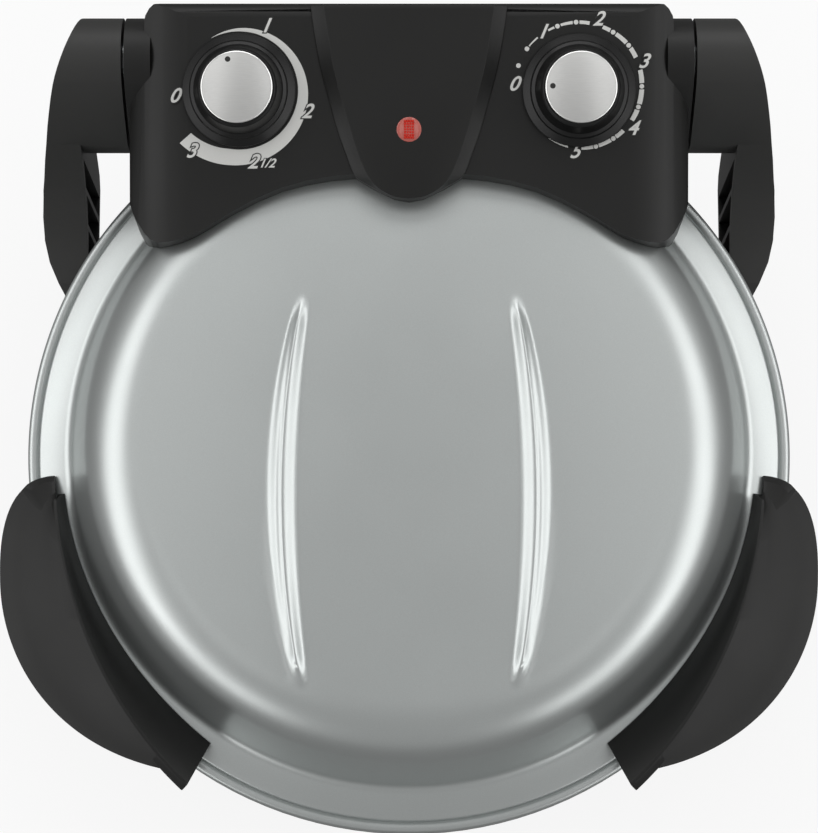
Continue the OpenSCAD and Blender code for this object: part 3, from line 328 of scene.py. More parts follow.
def joined(parts):
    """One bmesh of several, which are used up."""
    whole = bmesh.new()
    scratch = bpy.data.meshes.new("scratch")
    for bm in parts:
        bm.to_mesh(scratch)
        whole.from_mesh(scratch)
        bm.free()
    bpy.data.meshes.remove(scratch)
    return whole


def smooth_by_angle(limit):
    """A node group that shades a mesh smooth but for edges sharper than the limit."""
    name = f"smooth_below_{limit}"
    if name in bpy.data.node_groups:
        return bpy.data.node_groups[name]
    group = bpy.data.node_groups.new(name, "GeometryNodeTree")
    group.interface.new_socket("Geometry", in_out="INPUT", socket_type="NodeSocketGeometry")
    group.interface.new_socket("Geometry", in_out="OUTPUT", socket_type="NodeSocketGeometry")
    start = add(group, "NodeGroupInput")
    edge = add(group, "GeometryNodeInputMeshEdgeAngle")
    soft = add(group, "FunctionNodeCompare", {
        "A": edge.outputs["Unsigned Angle"], "B": math.radians(limit)},
        data_type="FLOAT", operation="LESS_EQUAL")
    edges = add(group, "GeometryNodeSetShadeSmooth", {
        "Geometry": start.outputs["Geometry"], "Shade Smooth": soft.outputs["Result"]}, domain="EDGE")
    faces = add(group, "GeometryNodeSetShadeSmooth", {
        "Geometry": edges.outputs["Geometry"], "Shade Smooth": True}, domain="FACE")
    add(group, "NodeGroupOutput", {"Geometry": faces.outputs["Geometry"]})
    return group


# CAD nodes: vertices this close in metres are welded, and faces this near to flat in degrees are joined
WELD, FLAT = 2e-6, 0.2


def dress(names, material, edge=0.0, angle=32):
    """Gives CAD nodes their finish, welds and smooths them, and rounds their edges by the given mm."""
    for name in names:
        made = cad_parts[name]
        made.data.materials.clear()
        made.data.materials.append(finish(material))
        made.modifiers.new("weld", "WELD").merge_threshold = WELD
        if edge:
            flat = made.modifiers.new("flat faces", "DECIMATE")
            flat.decimate_type = "DISSOLVE"
            flat.angle_limit = math.radians(FLAT)
            soft = made.modifiers.new("edges", "BEVEL")
            soft.limit_method = "ANGLE"
            soft.angle_limit = math.radians(angle)
            soft.width = edge * MM
            soft.segments = 2
        shading = made.modifiers.new("shading", "NODES")
        shading.node_group = smooth_by_angle(angle)
        made.modifiers.new("normals", "WEIGHTED_NORMAL").keep_sharp = True


# ---------- values a user may change ----------

class PizzaMakerSizes(bpy.types.PropertyGroup):
    """Sizes of the visible pieces"""
    crescent_height: FloatProperty(
        name="Crescent height", description="Height of the two embossed crescents on the crown",
        default=0.0035, min=0.0, max=0.006, unit="LENGTH", subtype="DISTANCE")
    edge_round: FloatProperty(
        name="Edge rounding", description="Radius of the moulded plastic's edges",
        default=0.0006, min=0.0, max=0.002, unit="LENGTH", subtype="DISTANCE")
    numeral_height: FloatProperty(
        name="Numeral height", description="Height of the numerals round the knobs",
        default=0.0062, min=0.003, max=0.008, unit="LENGTH", subtype="DISTANCE")


def colour_property(name, description, code):
    """A colour that a user may change, with its default as an sRGB hex value."""
    return FloatVectorProperty(name=name, description=description, subtype="COLOR", size=4,
                               default=linear(code), min=0.0, max=1.0)


class PizzaMakerColours(bpy.types.PropertyGroup):
    """Colours of the finishes"""
    dome: colour_property("Lid", "Silver lacquer of the lid", "#BDC1C0")
    bowl: colour_property("Bowl", "Stoving paint of the base bowl", "#2A2A2A")
    plastic: colour_property("Plastic", "Housing and handles", "#10100F")
    arm: colour_property("Arms", "Hinge arms", "#2A2A29")
    knob: colour_property("Knob", "Knob skirts", "#0D0D0D")
    knob_cap: colour_property("Knob cap", "Metal caps of the knobs", "#E4E4E2")
    ink: colour_property("Ink", "Printed dial markings", "#C9C9C6")
    lamp: colour_property("Lamp", "Indicator lens", "#C4645A")


# ---------- lid ----------

# Angles in degrees: the crown's slope at its edge, the wall's lean and the flange's slope
CROWN_A, WALL_LEAN, FLANGE_RISE = 4.8, 18.0, 14.0
CROWN_SIN, CROWN_COS = math.sin(math.radians(CROWN_A)), math.cos(math.radians(CROWN_A))
WALL_SIN, WALL_COS = math.sin(math.radians(WALL_LEAN)), math.cos(math.radians(WALL_LEAN))
SHOULDER_R, FOOT_FILLET = 28.0, 6.0
# The wall stays where a shoulder of the radius 16, 45.5 inside the rim, would put it
SHOULDER_X = RIM_R - 45.5 - (SHOULDER_R - 16) * (1 - CROWN_COS * WALL_SIN) / WALL_COS
CROWN_R = (SHOULDER_X + SHOULDER_R * CROWN_SIN) / CROWN_SIN
CROWN_EDGE = CROWN_R * CROWN_SIN
FLANGE_END = (RIM_R - 5.9, LID_Z + 6.8)


def crown_z(r):
    """Height of the gently domed crown at a distance from the axis."""
    return DOME_Z - CROWN_R + math.sqrt(CROWN_R ** 2 - r * r)


def wall_line():
    """The lid's outside from the end of the crown to the end of the sloped flange."""
    rise = math.radians(FLANGE_RISE)
    shoulder = Vector((SHOULDER_X, DOME_Z - CROWN_R * (1 - CROWN_COS) - SHOULDER_R * CROWN_COS))
    wall_n = Vector((WALL_COS, WALL_SIN))
    flange_n = Vector((math.sin(rise), math.cos(rise)))
    flange = Vector((math.tan(rise), 1))
    down = Vector((WALL_SIN, -WALL_COS))
    # The foot's fillet touches the wall and the flange
    top = shoulder + SHOULDER_R * wall_n
    span = Vector(FLANGE_END) - top - FOOT_FILLET * (wall_n - flange_n)
    fillet = top + span.dot(flange) / down.dot(flange) * down + FOOT_FILLET * wall_n
    return (arc(shoulder, SHOULDER_R, 90 - CROWN_A, WALL_LEAN, 16)
            + arc(fillet, FOOT_FILLET, 180 + WALL_LEAN, 270 - FLANGE_RISE, 8) + [FLANGE_END])


# Crescents: the crest, the outer and the inner edge, each at the middle and at the tips
CRESCENT_Y, CRESCENT_HALF = -26.0, 84.0
CRESCENT_CREST, CRESCENT_OUT, CRESCENT_IN = (53.1, 44.6), (60.4, 47.6), (46.3, 41.0)
# Each fades out over this share of its length, and has a fine crease beside its crest
CRESCENT_FADE = 0.35
CREASE_DEPTH, CREASE_PLACE, CREASE_WIDTH = 0.13, 1.2, 1.1


def crescent_rise(x, y, height):
    """Height of the embossed crescents over the crown at a point."""
    t = (y - CRESCENT_Y) / CRESCENT_HALF
    if abs(t) >= 1:
        return 0.0
    crest, outer, inner = (tip + (mid - tip) * (1 - t * t) for mid, tip in (
        CRESCENT_CREST, CRESCENT_OUT, CRESCENT_IN))
    across = abs(x) - crest
    share = across / (outer - crest) if across > 0 else -across / (crest - inner)
    if share >= 1:
        return 0.0
    fade = min(1.0, (1 - t * t) / CRESCENT_FADE)
    round_side = 0.5 + 0.5 * math.cos(math.pi * share)
    sharp_side = (1 - share) ** 2
    crease = CREASE_DEPTH * math.exp(-((across - CREASE_PLACE) / CREASE_WIDTH) ** 2)
    return height * fade * fade * (3 - 2 * fade) * (0.75 * round_side + 0.25 * sharp_side - crease)


# The crown's grid has so many lines each way, and this share of them lies where the crescents run
GRID_LINES, GRID_SHARE = 176, 0.52
GRID_DENSE = (0.36, 0.54)


def spread(u):
    """Draws the grid's lines together where the crescents run, on both sides."""
    lo, hi = GRID_DENSE
    start, end = 0.5 - GRID_SHARE / 2, 0.5 + GRID_SHARE / 2
    a = abs(u)
    if a < start:
        out = a / start * lo
    elif a < end:
        out = lo + (a - start) / GRID_SHARE * (hi - lo)
    else:
        out = hi + (a - end) / start * (1 - hi)
    return math.copysign(out, u)


class OBJECT_OT_pizza_lid(bpy.types.Operator):
    """Makes the lid's domed shell with its two embossed crescents and its rolled rim"""
    bl_idname = "object.pizza_lid"
    bl_label = "Lid shell"

    def execute(self, context):
        height = context.scene.pizza_maker_sizes.crescent_height / MM
        bm = bmesh.new()
        bmesh.ops.create_grid(bm, x_segments=GRID_LINES, y_segments=GRID_LINES, size=1.0)
        for v in bm.verts:
            u, w = spread(v.co.x), v.co.y
            x = u * math.sqrt(1 - w * w / 2) * CROWN_EDGE
            y = w * math.sqrt(1 - u * u / 2) * CROWN_EDGE
            v.co = (x, y, crown_z(min(math.hypot(x, y), CROWN_EDGE)) + crescent_rise(x, y, height))
        bead = [
            (RIM_R - 5.2, LID_Z + 6.3), *arc((RIM_R - 2.6, LID_Z + 4.4), 2.6, 150, 0, 12),
            (RIM_R, LID_Z), (RIM_R - SHEET, LID_Z), (RIM_R - SHEET, LID_Z + 4.1),
            (RIM_R - 5.2, LID_Z + 4.7)]
        outside = wall_line()
        crown = [(r, crown_z(r)) for r in (0, 30, 60, 90)]
        inside = beside(crown + outside, -SHEET)
        line = outside[1:] + bead + inside[:0:-1]
        edges = [e for e in bm.edges if e.is_boundary]
        for r, z in line:
            made = bmesh.ops.extrude_edge_only(bm, edges=edges)["geom"]
            for v in (g for g in made if isinstance(g, bmesh.types.BMVert)):
                angle = math.atan2(v.co.y, v.co.x)
                v.co = (r * math.cos(angle), r * math.sin(angle), z)
            edges = [g for g in made if isinstance(g, bmesh.types.BMEdge)]
        bmesh.ops.contextual_create(bm, geom=edges)
        piece("lid_dome", bm, "lid", "stoved_silver_lacquer", ["lid_shell"], angle=50)
        return {"FINISHED"}


# Half outlines of the tongue's flat top and of its sloped side's foot, as X and Y from the hinge axis
TONGUE_TOP = [(36.2, 16.6), (34.4, 5.5), (32.2, -7.9), (29.0, -20.3), (25.6, -32.0), (22.0, -43.6),
              (18.0, -53.0), (14.3, -57.9), (9.4, -61.2), (5.0, -62.8), (0, -63.3)]
TONGUE_FOOT = [(41.8, 16.6), (40.5, 7.0), (37.9, -7.9), (34.0, -22.4), (30.2, -35.4), (26.7, -45.0),
               (22.9, -53.9), (15.6, -58.5), (10.2, -61.4), (5.4, -63.2), (0, -63.9)]


def through(points, n=4):
    """A smooth line through points, with n steps between two of them."""
    ends = [points[0], *points, points[-1]]
    out = [tuple(points[0])]
    for a, b, c, d in zip(ends, ends[1:], ends[2:], ends[3:]):
        for i in range(1, n + 1):
            t = i / n
            out.append(tuple(
                0.5 * (2 * q1 + (q2 - q0) * t + (2 * q0 - 5 * q1 + 4 * q2 - q3) * t * t
                       + (3 * q1 - q0 - 3 * q2 + q3) * t ** 3) for q0, q1, q2, q3 in zip(a, b, c, d)))
    return out


def tongue_section(share, up):
    """The tongue's outline at a height over the panel: share 0 is its foot and 1 its top."""
    half = []
    for foot, top in zip(through(TONGUE_FOOT), through(TONGUE_TOP)):
        x, y = (a + (b - a) * share for a, b in zip(foot, top))
        half.append((x, (y + HINGE_Y - PANEL_FRONT_Y) / math.cos(PANEL_TILT), up))
    return half[:-1] + [(0.0, *half[-1][1:])] + [(-x, y, z) for x, y, z in half[-2::-1]]


# The tongue's sections: the share from foot to top, and the height over the panel
TONGUE_LEVELS = ((0, -4.6), (0, 0.45), (0.08, 0.75), (0.92, 3.6), (1, 4.1))


class OBJECT_OT_pizza_housing(bpy.types.Operator):
    """Finishes the control housing, its tongue with sloped sides, and what is fixed inside it"""
    bl_idname = "object.pizza_housing"
    bl_label = "Control housing"

    def execute(self, context):
        edge = context.scene.pizza_maker_sizes.edge_round / MM
        dress(["control_housing"], "moulded_black_plastic", edge, 25)
        bm = bevelled(lofted([tongue_section(share, up) for share, up in TONGUE_LEVELS]), 0.35, 18)
        piece("housing_tongue", bm, "lid", "moulded_black_plastic", angle=40,
              place=on_panel(0, PANEL_FRONT_Y))
        dress(["housing_cover", "thermostat_nut", "timer_nut", "lens_clip", "timer_body"], "zinc_plate")
        dress(["timer_bell"], "turned_brass")
        dress(["thermostat_body"], "glazed_steatite")
        dress(["terminal_block"], "beige_polyamide")
        dress(["thermal_cutout"], "moulded_black_plastic")
        dress(["control_wires"], "silicone_sleeve")
        dress(["cord_gland"], "moulded_rubber")
        return {"FINISHED"}


# ---------- markings ----------

# Thickness of the ink, and the heights at which its layers lie over the panel
PRINT_T = 0.06
BAND_UP, EDGE_UP, NUMERAL_UP = 0.01, 0.1, 0.16
# How far the numerals and the black edge behind them grow past the letter's outline
NUMERAL_GROW, EDGE_GROW = 0.14, 0.6
# The font's size over the height of its numerals, and their lean
FONT_SHARE, NUMERAL_LEAN = 1.38, 0.42


def band(radii, start, end, steps):
    """The outline of a band round a knob: radii(angle) gives its inner and outer radius."""
    angles = [start + (end - start) * i / steps for i in range(steps + 1)]
    inner = [polar(radii(a)[0], a) for a in angles]
    outer = [polar(radii(a)[1], a) for a in angles]
    return inner + outer[::-1]


def between(table, a):
    """Straight-line value at a in a table of (angle, value) pairs with falling angles."""
    for (a0, v0), (a1, v1) in zip(table, table[1:]):
        if a0 >= a >= a1:
            return v0 + (v1 - v0) * (a0 - a) / (a0 - a1)
    return table[0][1] if a > table[0][0] else table[-1][1]


# The temperature band's inner and outer radius, by angle
TEMP_IN = [(118, 25.0), (-100, 25.0), (-138.6, 27.2)]
TEMP_OUT = [(118, 25.1), (90, 26.35), (0, 29.2), (-97, 31.8), (-138.6, 33.6)]
# The timer scale's radius and width by angle, its dots, and its gaps as (angle, half width in degrees)
TIMER_R = [(157.7, 27.7), (141.4, 28.2), (92.5, 28.9), (42.2, 28.4), (3.8, 26.7), (-54.3, 25.0),
           (-122.8, 23.9)]
TIMER_W = [(157.7, 0.4), (141.4, 0.5), (108.6, 1.0), (92.5, 1.4), (42.2, 1.9), (-15.4, 2.1),
           (-54.3, 1.7), (-90, 1.2), (-122.8, 0.05)]
DOT_R = 1.0
TIMER_DOTS = [157.7, 141.4, 108.6, 92.5, 59.6, 42.2, 3.8, -15.4, -54.3, -73.0]
TIMER_GAPS = [(141.4, 2.88), (122.6, 5.4), (108.6, 2.88), (92.5, 2.88), (75.3, 5.76), (59.6, 2.88),
              (42.2, 2.88), (24.3, 5.76), (3.8, 2.88), (-15.4, 2.88), (-35.6, 6.3), (-54.3, 2.88),
              (-73.0, 2.88), (-94.2, 6.75), (-122.8, 0.0)]
# The numerals of both dials, with their places about the knob's axis and their scale
TEMP_NUMERALS = [("0", -27.7, -2.4, 1.0), ("1", 11.0, 27.2, 1.0), ("2", 28.5, -9.0, 1.0),
                 ("2", 5.6, -30.3, 1.0), ("1/2", 11.6, -30.9, 0.62), ("3", -20.6, -25.7, 1.0)]
TIMER_NUMERALS = [("0", -27.9, 2.6, 1.0), ("1", -15.8, 24.7, 1.0), ("2", 7.9, 30.1, 1.0),
                  ("3", 27.1, 12.2, 1.0), ("4", 22.5, -16.1, 1.0), ("5", -1.9, -25.9, 1.0)]


def temp_radii(a):
    """Inner and outer radius of the temperature band at an angle."""
    return between(TEMP_IN, a), between(TEMP_OUT, a)


def timer_radii(a):
    """Inner and outer radius of the timer scale at an angle."""
    r, half = between(TIMER_R, a), between(TIMER_W, a) / 2
    return r - half, r + half


def numeral_mesh(text, size, grow):
    """A bmesh of a leaning numeral, centred, in mm."""
    data = bpy.data.curves.new("numeral", "FONT")
    data.body = text
    data.size = size * FONT_SHARE
    data.shear = NUMERAL_LEAN
    data.align_x, data.align_y = "CENTER", "CENTER"
    data.extrude = PRINT_T / 2
    data.offset = grow
    data.resolution_u = 6
    holder = bpy.data.objects.new("numeral", data)
    bpy.context.scene.collection.objects.link(holder)
    depsgraph = bpy.context.evaluated_depsgraph_get()
    mesh = bpy.data.meshes.new_from_object(holder.evaluated_get(depsgraph))
    bm = bmesh.new()
    bm.from_mesh(mesh)
    bpy.data.meshes.remove(mesh)
    bpy.data.objects.remove(holder)
    bpy.data.curves.remove(data)
    return bm


class OBJECT_OT_pizza_markings(bpy.types.Operator):
    """Prints the widening band, the dotted timer scale and the plain numerals on the panel"""
    bl_idname = "object.pizza_markings"
    bl_label = "Dial markings"

    def execute(self, context):
        height = context.scene.pizza_maker_sizes.numeral_height / MM
        temp, timer = on_panel(-KNOB_X, KNOB_Y), on_panel(KNOB_X, KNOB_Y)
        shapes = [(temp, band(temp_radii, TEMP_IN[0][0], TEMP_IN[-1][0], 96))]
        shapes += [(timer, arc(polar(between(TIMER_R, a), a), DOT_R, 0, 345, 23)) for a in TIMER_DOTS]
        shapes += [(timer, band(timer_radii, a0 - gap0, a1 + gap1, 10))
                   for (a0, gap0), (a1, gap1) in zip(TIMER_GAPS, TIMER_GAPS[1:])]
        parts = []
        for place, outline in shapes:
            bm = prism(outline, PRINT_T)
            bmesh.ops.transform(bm, matrix=place @ Matrix.Translation((0, 0, BAND_UP)), verts=bm.verts)
            parts.append(bm)
        piece("dial_bands", joined(parts), "lid", "printed_ink", angle=30, merge=1e-4)
        white, black = [], []
        for place, numerals in ((temp, TEMP_NUMERALS), (timer, TIMER_NUMERALS)):
            for text, x, y, scale in numerals:
                for parts, grow, up in ((white, NUMERAL_GROW, NUMERAL_UP), (black, EDGE_GROW, EDGE_UP)):
                    bm = numeral_mesh(text, height * scale, grow * scale)
                    bmesh.ops.transform(bm, matrix=place @ Matrix.Translation((x, y, up)), verts=bm.verts)
                    parts.append(bm)
        piece("numerals", joined(white), "lid", "printed_ink", merge=1e-4)
        piece("numeral_edges", joined(black), "lid", "printed_black_ink", merge=1e-4)
        return {"FINISHED"}


# ---------- knobs and lamp ----------

KNOB_R, KNOB_H, CAP_R, BORE_R = 24.0, 20.5, 15.0, 3.1
STEP_R, GRIP_R, KNOB_GAP = KNOB_R - 3.8, CAP_R + 1.2, 0.8
SKIRT_H = KNOB_H - 4
# The cap's dome: its height over the skirt, its sag at the rim, and the radii of its rings
CAP_H, CAP_SAG = 4.1, 1.5
CAP_RINGS = (14.3, 13, 11.5, 10, 8, 6, 4, 2, 0)
# The knobs with their places and the angles of their dots at rest
KNOBS = (("temp_knob", -KNOB_X, 107.7), ("timer_knob", KNOB_X, 178.5))


class OBJECT_OT_pizza_knobs(bpy.types.Operator):
    """Makes both knobs: a stepped skirt and a gently domed brushed cap with a dot"""
    bl_idname = "object.pizza_knobs"
    bl_label = "Knobs"

    def execute(self, context):
        top = SKIRT_H
        skirt = rounded([
            (BORE_R, KNOB_GAP + 3), (9, KNOB_GAP + 3), (9, KNOB_GAP), (KNOB_R, KNOB_GAP), (KNOB_R, 2.4),
            (STEP_R + 0.6, 4.6), (STEP_R + 0.2, 6.0), (STEP_R - 1.4, 6.9), (GRIP_R + 0.5, top - 1.2),
            (GRIP_R - 0.4, top), (BORE_R, top)], 0.7)
        dome = [(r, top + CAP_H - CAP_SAG * (r / CAP_R) ** 2) for r in CAP_RINGS]
        cap = rounded([(0, top), (CAP_R, top), (CAP_R, top + 2.5), (CAP_R - 0.4, top + 2.75)] + dome, 0.15)
        dot = [(0, top + 2.8), (1.15, top + 2.8), (1.15, top + 3.35), (0.9, top + 3.4), (0, top + 3.4)]
        for name, x, angle in KNOBS:
            place = on_panel(x, KNOB_Y)
            piece(name + "_skirt_shape", spun(skirt, 192, closed=True), name,
                  "polished_black_plastic", [name + "_skirt"], place=place)
            piece(name + "_cap_shape", spun(cap, 128), name, "brushed_anodised_aluminium",
                  [name + "_cap"], place=place)
            bm = spun(dot, 32)
            bmesh.ops.translate(bm, verts=bm.verts, vec=(*polar(CAP_R - 3, angle), 0))
            piece(name + "_dot", bm, name, "printed_black_ink", place=place)
        dress(["thermostat_shaft", "timer_shaft"], "zinc_plate")
        return {"FINISHED"}


# The lens stands on the tongue's top, and its strip is a grid of small prisms
LENS_R, LENS_TOP = 5.25, 4.8
PRISM_STEP_X, PRISM_STEP_Y = 1.1, 1.15


class OBJECT_OT_pizza_lamp(bpy.types.Operator):
    """Makes the red indicator lens with its prism strip, over the neon bulb"""
    bl_idname = "object.pizza_lamp"
    bl_label = "Indicator lamp"

    def execute(self, context):
        place = on_panel(0, LAMP_Y)
        top = LENS_TOP
        outside = [(LENS_R - 1.2, -4.2), (LENS_R, -4.2), (LENS_R, top - 0.5), (LENS_R - 1.2, top - 0.15),
                   (2.4, top + 0.1), (0, top + 0.12)]
        line = rounded(outside, 0.4) + [(0, top - 1.4), (LENS_R - 1.2, top - 1.6)]
        piece("lens_body", spun(line, 64, closed=True), "lid", "clear_red_acrylic",
              ["lamp_lens"], place=place)
        parts = []
        for i in range(4):
            for k in range(7):
                x, y = (i - 1.5) * PRISM_STEP_X, (k - 3) * PRISM_STEP_Y
                if math.hypot(x, y) > LENS_R - 0.9:
                    continue
                bm = bmesh.new()
                bmesh.ops.create_cone(
                    bm, cap_ends=True, segments=4, radius1=0.74, radius2=0.34, depth=0.34)
                turned = Matrix.Translation((x, y, top + 0.16)) @ Matrix.Rotation(math.pi / 4, 4, "Z")
                bmesh.ops.transform(bm, verts=bm.verts, matrix=turned)
                parts.append(bm)
        # The prisms' finish glows faintly: a painted highlight, not a lit lamp
        piece("lens_prisms", joined(parts), "lid", "red_prism_strip_painted_glow", place=place,
              merge=1e-5)
        dress(["neon_lamp"], "lamp_glass")
        return {"FINISHED"}


# ---------- handles and arms ----------

def rim_points(places):
    """Control points from distances outside the rim and angles from the side towards the front."""
    return [polar(RIM_R + out, -a) for out, a in places]


# Curves of the lid handle in plan, from its rear end to its front end: the ridge and the foot of the
# blade, and the grip's outer edge in two parts
RIDGE = rim_points(((-11.5, 7.8), (-3.2, 24.2), (5.6, 41.5), (7.5, 57.3)))
FOOT = rim_points(((-15.5, 6.7), (-9.1, 23.2), (-10, 40.2), (-12.5, 56.5)))
OUTER_REAR = rim_points(((-15.6, 4.9), (5, 3.4), (14.3, 9.1), (19.5, 17.7)))
OUTER_FRONT = rim_points(((19.5, 17.7), (33, 28), (33, 40.5), (8, 53.5)))
# The grip takes this share of the blade's length, and its edge's rear part this share of the grip
GRIP_SHARE, REAR_SHARE = 0.87, 0.35
PLATE_T, PLATE_SAG, RIDGE_HALF = 3.0, 1.6, 0.6
HANDLE_SECTIONS, REAR_CUT = 64, 0.02


def flange_at(r):
    """Height just over the sloped flange and the rim at a distance from the axis."""
    if r > RIM_R + 1:
        return 0.0
    return LID_Z + 7.1 + max(0.0, FLANGE_END[0] - r) * math.tan(math.radians(FLANGE_RISE))


def handle_section(t):
    """The corners of the lid handle's section at a share of its length, from its foot over its ridge."""
    ridge, foot = Vector(curve_at(RIDGE, t)), Vector(curve_at(FOOT, t))
    ahead = Vector(curve_at(RIDGE, t + 0.01)) - Vector(curve_at(RIDGE, t - 0.01))
    out = Vector((-ahead.y, ahead.x)).normalized()
    u = t / GRIP_SHARE
    if u >= 1:
        outer = ridge + out * (PLATE_T + 0.5)
    elif u < REAR_SHARE:
        outer = Vector(curve_at(OUTER_REAR, u / REAR_SHARE))
    else:
        outer = Vector(curve_at(OUTER_FRONT, (u - REAR_SHARE) / (1 - REAR_SHARE)))
    # Over the rim, the ridge starts at 14, bulges towards 34 and ends at 22
    ridge_z = RIM_Z + 14 * (1 - t) ** 2 + 2 * 34 * t * (1 - t) + 22 * t * t
    # The grip's edge rises to meet the ridge at the grip's front end
    met = min(1.0, u ** 6)
    edge_top = (RIM_Z + 7 + 4 * t) * (1 - met) + (ridge_z - 1) * met

    def over(p, z):
        return (p.x, p.y, max(z, flange_at(p.length) + 0.15))

    # The grip's plate sinks slightly between the ridge and its outer edge
    plate = []
    for share in (0.25, 0.5, 0.75):
        p = ridge + (outer - ridge) * share
        z = ridge_z + (edge_top - ridge_z) * share - PLATE_SAG * 4 * share * (1 - share) * (1 - met)
        plate.append(over(p, z))
    # The foot lies on the flange, and the underside follows the rim
    foot_z = LID_Z + 7.3
    edge_z = max(edge_top, flange_at(outer.length) + 1.65)
    under_z = max(edge_top - PLATE_T, LID_Z + 7.6 - max(0.0, outer.length - RIM_R - 3))
    return [over(foot, foot_z), over(ridge - out * RIDGE_HALF, ridge_z),
            over(ridge + out * RIDGE_HALF, ridge_z), *plate, over(outer, edge_z),
            over(outer - out * 0.4, under_z), over(ridge + out * 0.3, ridge_z - PLATE_T * 1.2),
            over(foot + out * PLATE_T, foot_z)]


class OBJECT_OT_pizza_lid_handles(bpy.types.Operator):
    """Makes the two lid handles, each a leaning blade with a broad grip plate"""
    bl_idname = "object.pizza_lid_handles"
    bl_label = "Lid handles"

    def execute(self, context):
        edge = context.scene.pizza_maker_sizes.edge_round / MM
        # The pointed rear tip is cut off
        shares = [REAR_CUT + (1 - REAR_CUT) * i / HANDLE_SECTIONS for i in range(HANDLE_SECTIONS + 1)]
        for name, mirror in (("left_lid_handle", -1), ("right_lid_handle", 1)):
            sections = [[(mirror * x, y, z) for x, y, z in handle_section(t)] for t in shares]
            bm = bevelled(lofted(sections), edge, 34)
            piece(name + "_shape", bm, "lid", "moulded_black_plastic", [name], angle=40)
        dress(["lid_handle_screws"], "zinc_plate")
        return {"FINISHED"}


class OBJECT_OT_pizza_arms(bpy.types.Operator):
    """Finishes the hinge arms, their pins, washers, clips and screws"""
    bl_idname = "object.pizza_arms"
    bl_label = "Hinge arms"

    def execute(self, context):
        edge = context.scene.pizza_maker_sizes.edge_round / MM
        dress(["left_hinge_arm", "right_hinge_arm"], "moulded_phenolic", edge)
        dress(["left_hinge_pin", "right_hinge_pin", "hinge_washers", "pin_clips", "arm_screws"],
              "zinc_plate")
        return {"FINISHED"}


# ---------- base ----------

class OBJECT_OT_pizza_bowl(bpy.types.Operator):
    """Finishes the base bowl, its handles, feet and screws, and the heater's lead"""
    bl_idname = "object.pizza_bowl"
    bl_label = "Base bowl"

    def execute(self, context):
        edge = context.scene.pizza_maker_sizes.edge_round / MM
        dress(["base_shell"], "black_stoving_paint")
        dress(["left_base_handle", "right_base_handle"], "moulded_black_plastic", edge)
        dress(["rubber_feet"], "moulded_rubber")
        dress(["feet_screws", "base_handle_screws", "housing_screws"], "zinc_plate")
        dress(["heater_lead"], "silicone_sleeve")
        return {"FINISHED"}


class OBJECT_OT_pizza_oven(bpy.types.Operator):
    """Finishes the oven: both reflectors, the stone, and the heaters with their clips and bushes"""
    bl_idname = "object.pizza_oven"
    bl_label = "Oven"

    def execute(self, context):
        dress(["base_reflector", "lid_reflector"], "aluminised_sheet")
        dress(["baking_stone"], "fired_cordierite")
        dress(["lower_heater", "upper_heater"], "oxidised_heater_sheath", angle=50)
        dress(["lower_heater_clips", "upper_heater_clips"], "zinc_plate")
        dress(["lower_heater_bushes", "upper_heater_bushes"], "glazed_steatite")
        return {"FINISHED"}


# ---------- stage ----------

# The floor: half its side in metres, how white it glows to the camera, and its glow in reflections
FLOOR_HALF, FLOOR_GLOW, FLOOR_MIRRORED = 6.0, 0.86, 0.22
# The world's strength towards the front and towards the rear
SKY_FRONT, SKY_REAR = 0.42, 0.44
# The photograph's focal length and width in pixels, and the sensor's width in mm
FOCAL_PX, PHOTO_W, SENSOR = 2954.5, 818, 36.0
# The camera's target, and its place from there, in mm
CAMERA_TARGET, CAMERA_OFFSET = (0, 15.4 + SHIFT_Y, 80), (0, -225.7, 1280.2)


def area_light(name, place, aim, size, power, roll=0.0):
    """Adds a soft rectangular light, turned towards a point and rolled by degrees, in metres and watts."""
    data = bpy.data.lights.new(name, "AREA")
    data.shape = "RECTANGLE"
    data.size, data.size_y = size
    data.energy = power
    made = bpy.data.objects.new(name, data)
    bpy.context.scene.collection.objects.link(made)
    turn = (Vector(aim) - Vector(place)).to_track_quat("-Z", "Y")
    made.matrix_world = (Matrix.Translation(place) @ turn.to_matrix().to_4x4()
                         @ Matrix.Rotation(math.radians(roll), 4, "Z"))


